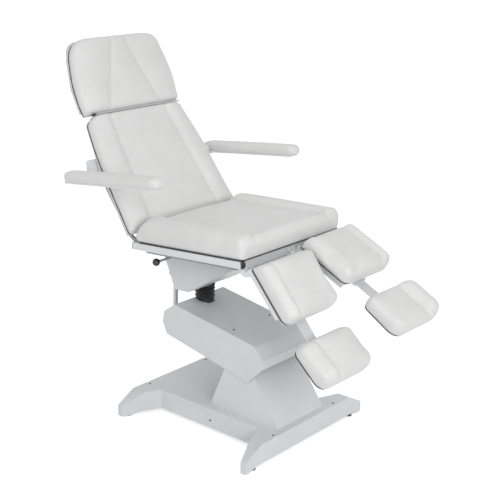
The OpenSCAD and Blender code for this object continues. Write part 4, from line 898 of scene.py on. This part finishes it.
# %% Headrest cushion
HEAD_SEAT = 0.020
HEAD_START = 0.001
HEAD_END = 0.300
HEAD_LONG = HEAD_END - HEAD_START
HEAD_FOOT_HALF, HEAD_FLARE, HEAD_WIDEST = 0.254, 0.008, 0.35
HEAD_HALF, HEAD_TAPER, HEAD_TAPER_LONG, HEAD_POWER = 0.262, 0.022, 0.45, 1.6
HEAD_SEAM, HEAD_SEAM_TAPER, HEAD_SEAM_SHARE = 0.141, 0.101, 1.15
HEAD_RIDGE, HEAD_FALL = 0.55, 0.02
HEAD_DIP, HEAD_DROP = 0.010, 0.014
HEAD_ROUND = 0.02
HEAD_LEAN = math.tan(math.radians(HEAD_ANGLE))
HEAD_PINNED = 0.008
HEAD_LOW_END = End(turn=0.024, cut=0.014, nose=0.024, low=0.35, fade=0.03, fade_edge=0.004)
HEAD_TOP_END = End(turn=0.064, cut=0.064, nose=0.031, low=0.35, fade=0.06)


def head_half(part):
    """Half the headrest's width at a part of its length."""
    if part < HEAD_WIDEST:
        return HEAD_FOOT_HALF + HEAD_FLARE * math.sin(math.pi / 2 * part / HEAD_WIDEST)
    return HEAD_HALF - HEAD_TAPER * ((part - HEAD_WIDEST) / HEAD_TAPER_LONG) ** HEAD_POWER


def head_seam(sign):
    def at(y):
        part = np.clip((y - HEAD_START) / HEAD_LONG, 0, 1)
        return sign * (HEAD_SEAM - HEAD_SEAM_TAPER * np.minimum(1, part * HEAD_SEAM_SHARE))
    return at


def head_rings():
    rings = []
    for along, cut, share, fade in walk(HEAD_LONG, HEAD_LOW_END, HEAD_TOP_END, middle=18, rows=13):
        part = along / HEAD_LONG
        y = HEAD_START + along
        half = head_half(part) - cut - SLACK
        seam = abs(head_seam(1)(y))
        ridge = seam + (half - seam) * HEAD_RIDGE
        height = bolstered(BACK_THICK * share, seam, ridge, half - HEAD_FALL, HEAD_DIP, HEAD_DROP,
                           fade)
        lean = HEAD_LEAN * fading(part * LEAN_THIRD)
        ring = ring_points(-half, half, height, HEAD_ROUND, SIDE_TUCK)
        rings.append([(x, y + lean * z, z) for x, z in ring])
    return rings


HEAD_CUSHION = HEAD @ Matrix.Translation((0, 0, HEAD_SEAT))
head_cushion = upholster("head_upholstery", "head_cushion", "headrest", HEAD_CUSHION, head_rings(),
                         [head_seam(-1), head_seam(1)],
                         edge=lambda points: points[:, 1] - HEAD_LEAN * points[:, 2] < HEAD_PINNED)

# %% [markdown]
# Each leg cushion has one raised side, the outer one, which keeps the calf from rolling off. Its
# section is the same idea as the seat's, with the slope on one side only.

# %% Leg cushions
LEG_WIDE = 0.281
LEG_GAP = 0.003
LEG_START = 0.020
LEG_END = 0.240
LEG_SEAT = 0.040
LEG_THICK = 0.066
LEG_SWELL = 0.004
LEG_SEAM, LEG_RIDGE, LEG_FALL = 0.226, 0.252, 0.02
LEG_DIP, LEG_DROP, LEG_INNER = 0.012, 0.010, 0.006
LEG_ROUND = 0.02
LEG_MITRE, LEG_MITRE_LONG = 0.011, 0.03
LEG_TOP_END = End(turn=0.018, cut=0.004, cut_radius=0.012, nose=0.024, low=0.5, fade=0.03,
                  fade_edge=0.004)
LEG_LOW_END = End(turn=0.03, cut=0.03, nose=0.03, low=0.4, fade=0.035, fade_edge=0.002)
INNER_WIDE = 0.09
INNER_CROWN = 0.004
EDGE_SLACK = 0.001


def one_bolster(full, seam, ridge, right, dip, drop, inner, fade):
    """Height across a cushion whose only raised side is the far one."""
    def height(xs):
        climb = ease((xs - seam) / (ridge - seam))
        fall = np.clip((xs - ridge) / (right - ridge), 0, 1)
        lift = inner * (1 - ease(xs / INNER_WIDE))
        crown = INNER_CROWN * np.sin(np.clip(xs / seam, 0, 1) * math.pi)
        return full + fade * (-dip * (1 - climb) + lift + crown * (xs < seam)
                              - drop * fall ** FALL_POWER)
    return height


def leg_rings():
    rings = []
    for y, cut, share, fade in walk(LEG_END - LEG_START, LEG_TOP_END, LEG_LOW_END, middle=16):
        left, right = LEG_GAP + (cut + EDGE_SLACK), LEG_GAP + LEG_WIDE - (cut + EDGE_SLACK)
        full = LEG_THICK * share
        height = one_bolster(full + LEG_SWELL * fade, LEG_SEAM, LEG_RIDGE, right - LEG_FALL,
                             LEG_DIP, LEG_DROP, LEG_INNER, fade)
        ring = ring_points(left, right, height, LEG_ROUND, SIDE_TUCK)
        back = LEG_MITRE * fading(y / LEG_MITRE_LONG)
        rings.append([(x, LEG_START + y - back * (1 - z / full), z) for x, z in ring])
    return rings


leg_seam = [lambda y: np.full_like(y, LEG_SEAM)]
LEG_CUSHION = {side: LEG[side] @ Matrix.Translation((0, 0, LEG_SEAT)) for side in LEG}
leg_cushion = {}
for side in SIDES:
    leg_cushion[side] = upholster(f"leg_{side}_upholstery", f"leg_cushion_{side}", f"leg_{side}",
                                  LEG_CUSHION[side], leg_rings(), leg_seam)

# %% [markdown]
# A foot pad is a shallow dish on a tray. It is thicker at its far end, its inner edge is a little
# raised, and a broad bolster on the outer side stops the foot from sliding off.

# %% Foot pads
FOOT_WIDE = 0.286
FOOT_SHIFT = 0.004
FOOT_SEAT = 0.018
FOOT_LONG = 0.172
FOOT_THICK = 0.060
FOOT_LIP = 0.014
FOOT_SWELL = 0.013
FOOT_SEAM, FOOT_RIDGE, FOOT_FALL = 0.194, 0.236, 0.024
FOOT_DIP, FOOT_DROP, FOOT_INNER = 0.024, 0.012, 0.008
FOOT_ROUND, FOOT_TUCK = 0.022, 0.007
FOOT_NEAR_END = End(turn=0.031, cut=0.031, nose=0.031, low=0.45, fade=0.03, fade_edge=0.004)
FOOT_FAR_END = End(turn=0.044, cut=0.044, nose=0.044, low=0.4, fade=0.035, fade_edge=0.002)


def foot_rings():
    rings = []
    for y, cut, share, fade in walk(FOOT_LONG, FOOT_NEAR_END, FOOT_FAR_END, middle=14):
        left, right = cut + EDGE_SLACK, FOOT_WIDE - (cut + EDGE_SLACK)
        full = (FOOT_THICK + FOOT_LIP * (y / FOOT_LONG) ** 2) * share
        height = one_bolster(full + FOOT_SWELL * fade, FOOT_SEAM, FOOT_RIDGE, right - FOOT_FALL,
                             FOOT_DIP, FOOT_DROP, FOOT_INNER, fade)
        ring = ring_points(left, right, height, FOOT_ROUND, FOOT_TUCK)
        rings.append([(x, y, z) for x, z in ring])
    return rings


foot_seam = [lambda y: np.full_like(y, FOOT_SEAM)]
FOOT_PLACE = {side: FOOT[side] @ Matrix.Translation((FOOT_SHIFT - FOOT_WIDE / 2, 0, FOOT_SEAT))
              for side in FOOT}
foot_cushion = {}
for side in SIDES:
    foot_cushion[side] = upholster(f"foot_{side}_upholstery", f"foot_cushion_{side}",
                                   f"footpad_{side}", FOOT_PLACE[side], foot_rings(), foot_seam)

# %% [markdown]
# The armrest pads are long, narrow and firm, with rounded ends and a slight crown. They are placed
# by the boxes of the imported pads, turned to the armrests' slope.

# %% Armrest pads
PAD_LONG = 0.485
PAD_HALF = 0.034
PAD_THICK = 0.040
PAD_SLOPE = math.radians(6.85)
PAD_TIP_HALF, PAD_TIP_HIGH = 0.3, 0.6
PAD_CROWN = 0.002
PAD_ROUND, PAD_ROUND_SHARE, PAD_TUCK = 0.016, 0.6, 0.003
PAD_PINNED = 0.004
PAD_CAP = 0.002


def pad_rings():
    rings = []
    for y in stations(PAD_LONG, PAD_HALF, PAD_HALF, middle=20):
        near = min(y, PAD_LONG - y)
        half = PAD_HALF * nose(near, PAD_HALF, PAD_TIP_HALF) - EDGE_SLACK
        full = PAD_THICK * nose(near + EDGE_SLACK, PAD_HALF, PAD_TIP_HIGH) - EDGE_SLACK

        def height(xs, full=full, half=half):
            return full - PAD_CROWN * (xs / half) ** 2

        ring = ring_points(-half, half, height, min(PAD_ROUND, half * PAD_ROUND_SHARE), PAD_TUCK,
                           across=17, side=7)
        rings.append([(x, y, z - PAD_THICK) for x, z in ring])
    return rings


for side in SIDES:
    low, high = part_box(f"arm_pad_{side}")
    place = (Matrix.Translation(((low.x + high.x) / 2, low.y, high.z))
             @ Matrix.Rotation(-PAD_SLOPE, 4, "X"))
    upholster(f"arm_pad_{side}_upholstery", f"arm_pad_{side}", f"armrest_{side}", place,
              pad_rings(), cap=PAD_CAP, pinned_below=PAD_PINNED - PAD_THICK)

# %% [markdown]
# Every seam is sewn twice: a line of stitches runs on each side of the crease. A ray dropped on the
# finished cushion finds where each stitch lies, so the thread follows the swelling. A stitch is a
# closed tube that rises from the leatherette and dips back into it.

# %% Stitches
STITCH = 0.0044
STITCH_STEP = 0.0068
STITCH_POINTS = 5
STITCH_OFF = 0.0055
THREAD_RADIUS = 0.00045
THREAD_SIDES = 6
THREAD_RISE, THREAD_SUNK = 1.5, 0.5
RAY_FROM = 0.3


def stitch_tube(path, ups, verts, faces):
    """Adds one stitch, a closed tube along a short path."""
    base, last = len(verts), len(path) - 1
    for i, (point, up) in enumerate(zip(path, ups)):
        along = (path[min(i + 1, last)] - path[max(i - 1, 0)]).normalized()
        side = along.cross(up).normalized()
        for k in range(THREAD_SIDES):
            angle = 2 * math.pi * k / THREAD_SIDES
            verts.append(point + THREAD_RADIUS * (math.cos(angle) * side + math.sin(angle) * up))
    for i in range(last):
        low = base + THREAD_SIDES * i
        high = low + THREAD_SIDES
        for k in range(THREAD_SIDES):
            j = (k + 1) % THREAD_SIDES
            faces.append((low + k, low + j, high + j, high + k))
    faces.append(tuple(base + k for k in range(THREAD_SIDES)))
    faces.append(tuple(len(verts) - 1 - k for k in range(THREAD_SIDES)))


def stitch_row(surface, place, seam, start, end, offset, verts, faces):
    """Adds the stitches beside one seam. A stitch that would miss the cushion is left out."""
    down = (place.to_3x3() @ Vector((0, 0, -1))).normalized()
    for y in np.arange(start, end - STITCH, STITCH_STEP):
        path, ups = [], []
        for t in np.linspace(0, 1, STITCH_POINTS):
            at = float(y + STITCH * t)
            x = float(seam(np.array([at]))[0]) + offset
            point, normal = surface.ray_cast(place @ Vector((x, at, RAY_FROM)), down)[:2]
            if point is None:
                break
            lift = THREAD_RISE * math.sin(math.pi * t) - THREAD_SUNK
            path.append(point + normal * THREAD_RADIUS * lift)
            ups.append(normal)
        if len(path) == STITCH_POINTS:
            stitch_tube(path, ups, verts, faces)


def sew(piece, body, place, seams, start, end):
    """Sews both sides of every seam of a cushion, from start to end along it."""
    surface = BVHTree.FromObject(piece, bpy.context.evaluated_depsgraph_get())
    verts, faces = [], []
    for seam in seams:
        for side in (-1, 1):
            stitch_row(surface, place, seam, start, end, side * STITCH_OFF, verts, faces)
    mesh = new_mesh(piece.name.replace("upholstery", "stitches"), verts, faces)
    mesh.materials.append(THREAD)
    shade_smooth(mesh)
    row = link(mesh)
    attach(row, body)
    print(row.name, len(verts) // (THREAD_SIDES * STITCH_POINTS), "stitches")


sew(seat_cushion, "seat", SEAT_CUSHION, [seat_seam(-1), seat_seam(1)], start=-0.245, end=0.215)
sew(back_cushion, "backrest", BACK, [back_seam(-1), back_seam(1)], start=0.075, end=0.495)
sew(head_cushion, "headrest", HEAD_CUSHION, [head_seam(-1), head_seam(1)], start=0.02, end=0.262)
for side in SIDES:
    sew(leg_cushion[side], f"leg_{side}", LEG_CUSHION[side], leg_seam, start=0.035, end=0.222)
    sew(foot_cushion[side], f"footpad_{side}", FOOT_PLACE[side], foot_seam, start=0.02, end=0.14)

# %% [markdown]
# Under each cushion a thin dark strip of painted shade stands in for the shaded gap where the
# leatherette is drawn in and stapled to its board. Each strip follows its cushion's outline a few
# millimetres in.

# %% Strips of painted shade under the cushions
SHADE_STRIP_IN = 0.0036
SHADE_STRIP_HIGH = 0.0032
SHADE_STRIP_THICK = 0.002
OUTLINE_OUT = 0.005
ON_FLOOR = 0.0005


def lining(name, outline, body, place):
    """A thin upright strip of painted shade along a closed outline given anticlockwise."""
    points = np.array(outline)
    ahead = np.roll(points, -1, axis=0) - np.roll(points, 1, axis=0)
    inward = np.stack([-ahead[:, 1], ahead[:, 0]], 1)
    inward /= np.linalg.norm(inward, axis=1, keepdims=True)
    outer, inner = points + inward * SHADE_STRIP_IN, points + inward * (SHADE_STRIP_IN + SHADE_STRIP_THICK)
    count = len(points)
    verts = ([(x, y, 0.0) for x, y in outer] + [(x, y, SHADE_STRIP_HIGH) for x, y in outer]
             + [(x, y, SHADE_STRIP_HIGH) for x, y in inner] + [(x, y, 0.0) for x, y in inner])
    faces = []
    for i in range(count):
        k = (i + 1) % count
        for row in range(4):
            low, high = row * count, (row + 1) % 4 * count
            faces.append((low + i, low + k, high + k, high + i))
    mesh = new_mesh(name, verts, faces)
    mesh.transform(place)
    mesh.materials.append(BLACK_BOARD_AND_SHADE_STRIP)
    strip = link(mesh)
    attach(strip, body)


def outline_of(rings):
    """The foot of a ring stack, anticlockwise: the lowest points left and right of each ring."""
    right, left = [], []
    for ring in rings:
        floor_points = [p for p in ring if p[2] < ON_FLOOR or p is ring[0]]
        high = max(floor_points, key=lambda p: p[0])
        low = min(floor_points, key=lambda p: p[0])
        right.append((high[0] + OUTLINE_OUT, high[1]))
        left.append((low[0] - OUTLINE_OUT, low[1]))
    return right + left[::-1]


# Each cushion gets a dark strip of painted shade in the gap under it.
lining("seat_lining", outline_of(seat_rings()), "seat", SEAT_CUSHION)
lining("back_lining", outline_of(back_rings()), "backrest", BACK)
lining("head_lining", outline_of(head_rings()), "headrest", HEAD_CUSHION)
for side in SIDES:
    lining(f"leg_{side}_lining", outline_of(leg_rings()), f"leg_{side}", LEG_CUSHION[side])
    lining(f"foot_{side}_lining", outline_of(foot_rings()), f"footpad_{side}", FOOT_PLACE[side])
print("linings:", [item.name for item in bpy.data.objects if "lining" in item.name])

# %% [markdown]
# A painted strip stands in the gap between back and headrest, over the hinge. It reaches past the
# cushions on one side. On the other, a black end piece is painted shade: it stands in for the
# shaded gap at that end. It is thin enough for the headrest to lean forward past it.

# %% Strip over the headrest's hinge
STRIP_L = (0.5206, 0.5236)
STRIP_N = (-0.010, 0.044)
SHADE_END_N = (0.030, 0.042)
STRIP_ROUND = 0.002
FLAT_SIDE, FLAT_EDGE = 0.35, 0.2
END_RINGS, MIDDLE_RINGS, STRIP_POINTS = 6, 42, 28


def squared(value, power):
    """A sine or cosine pushed out towards the sides of a square."""
    return math.copysign(abs(value) ** power, value)


def cross_strip(name, start, end, l, n, material):
    """A strip across the back from start to end, between two places along it and two out of it."""
    rings = []
    middle_l, middle_n = (l[0] + l[1]) / 2, (n[0] + n[1]) / 2
    turn = np.linspace(0, math.pi / 2, END_RINGS)
    for x in np.concatenate([start + STRIP_ROUND * (1 - np.cos(turn)),
                             np.linspace(start, end, MIDDLE_RINGS)[1:-1],
                             end - STRIP_ROUND * (1 - np.cos(turn))[::-1]]):
        shrink = STRIP_ROUND * (1 - float(rounded(min(x - start, end - x), STRIP_ROUND)))
        half_l, half_n = l[1] - middle_l - shrink, n[1] - middle_n - shrink
        rings.append([(x, middle_l + half_l * squared(math.cos(angle), FLAT_SIDE),
                       middle_n + half_n * squared(math.sin(angle), FLAT_EDGE))
                      for angle in np.linspace(0, 2 * math.pi, STRIP_POINTS, endpoint=False)])
    mesh = skin_mesh(name, rings)
    mesh.transform(BACK)
    mesh.materials.append(material)
    shade_smooth(mesh)
    strip = link(mesh)
    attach(strip, "backrest")
    print(name, [round(value, 3) for value in strip.dimensions])


cross_strip("hinge_strip", -0.214, 0.250, STRIP_L, STRIP_N, FRAME_PAINT)
# A black end piece of painted shade, where the gap at the strip's end lies in shade.
cross_strip("hinge_strip_end_shade", -0.234, -0.2142, STRIP_L, SHADE_END_N, RUBBER)

# %% [markdown]
# The rubber boot's foot sits on the arm cover and its top on the column. The packed boot's shape is
# remeshed finely and eased, so that its folds are round, and it takes the packed boot's place.

# %% Rubber boot
BOOT_VOXEL = 0.0008
BOOT_SMOOTHINGS = 5

boot = link(bpy.data.objects["bellows"].data.copy())
boot.name = boot.data.name = "rubber_boot"
even_out(boot, BOOT_VOXEL, BOOT_SMOOTHINGS)
shade_smooth(boot.data)
boot.data.materials.clear()
boot.data.materials.append(RUBBER)
low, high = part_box("bellows")
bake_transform(boot)
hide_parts("bellows")
print("boot:", len(boot.data.vertices), "points")

# %% [markdown]
# The studio is a pale floor and a white surround. What the camera sees of them, straight or in a
# reflection, is plain white, while the light that they give the chair stays low. Light Path tells
# the two apart.

# %% Floor and surround
FLOOR_HALF = 40.0
FLOOR_GREY = 0.8
FLOOR_ROUGHNESS = 0.9
FLOOR_GLOW = 0.66
AMBIENT = 0.57
WHITE = (1, 1, 1, 1)


def seen_directly(tree):
    """1 for a ray from the camera, off gloss or through glass, and 0 for light on the chair."""
    seen = tree.nodes.new("ShaderNodeLightPath")
    direct = maths(tree, "MAXIMUM", seen.outputs["Is Camera Ray"], seen.outputs["Is Glossy Ray"])
    return maths(tree, "MAXIMUM", direct, seen.outputs["Is Transmission Ray"])


floor = link(new_mesh("floor", [(x * FLOOR_HALF, y * FLOOR_HALF, 0)
                                for x, y in ((-1, -1), (1, -1), (1, 1), (-1, 1))],
                      [(0, 1, 2, 3)]))
floor_paint = bpy.data.materials.new("studio floor")
floor_paint.use_nodes = True
tree = floor_paint.node_tree
plain = tree.nodes["Principled BSDF"]
plain.inputs["Base Color"].default_value = (FLOOR_GREY, FLOOR_GREY, FLOOR_GREY, 1)
plain.inputs["Roughness"].default_value = FLOOR_ROUGHNESS
plain.inputs["Emission Color"].default_value = WHITE
tree.links.new(maths(tree, "MULTIPLY", seen_directly(tree), FLOOR_GLOW),
               plain.inputs["Emission Strength"])
floor.data.materials.append(floor_paint)

world = bpy.data.worlds.new("surround")
bpy.context.scene.world = world
world.use_nodes = True
tree = world.node_tree
ambient = tree.nodes["Background"]
ambient.inputs["Color"].default_value = WHITE
extra = maths(tree, "MULTIPLY", seen_directly(tree), 1 - AMBIENT)
tree.links.new(maths(tree, "ADD", extra, AMBIENT), ambient.inputs["Strength"])
print("surround:", AMBIENT, "on the chair, 1.0 seen directly")

# %% [markdown]
# Light comes from wide, soft lamps. The main one stands before the chair on its near side, because
# in the photograph the faces turned to the viewer are the lightest, the raised sides catch the
# light, and the tops are a shade darker. A weaker one fills in from the side, and one from above.

# %% Lamps
LAMPS = {  # place, aim, width in metres, power in watts
    "key": ((-2.3, -3.9, 2.3), (0, 0, 0.7), 2.4, 70),
    "side": ((-4.0, -0.2, 2.7), (0, 0, 0.5), 2.4, 16),
    "top": ((0.3, 0.4, 3.8), (0, 0, 0.6), 3.0, 5),
}


def soft_lamp(name, place, aim, size, power):
    """A square lamp that shines from its place towards its aim."""
    data = bpy.data.lights.new(name, "AREA")
    data.shape = "SQUARE"
    data.size = size
    data.energy = power
    lamp = bpy.data.objects.new(name, data)
    bpy.context.scene.collection.objects.link(lamp)
    lamp.location = place
    lamp.rotation_euler = (Vector(aim) - Vector(place)).to_track_quat("-Z", "Y").to_euler()
    lamp.visible_camera = False


for name, facts in LAMPS.items():
    soft_lamp(name, *facts)
bpy.context.scene.view_settings.view_transform = "Standard"
print("lamps:", list(LAMPS))
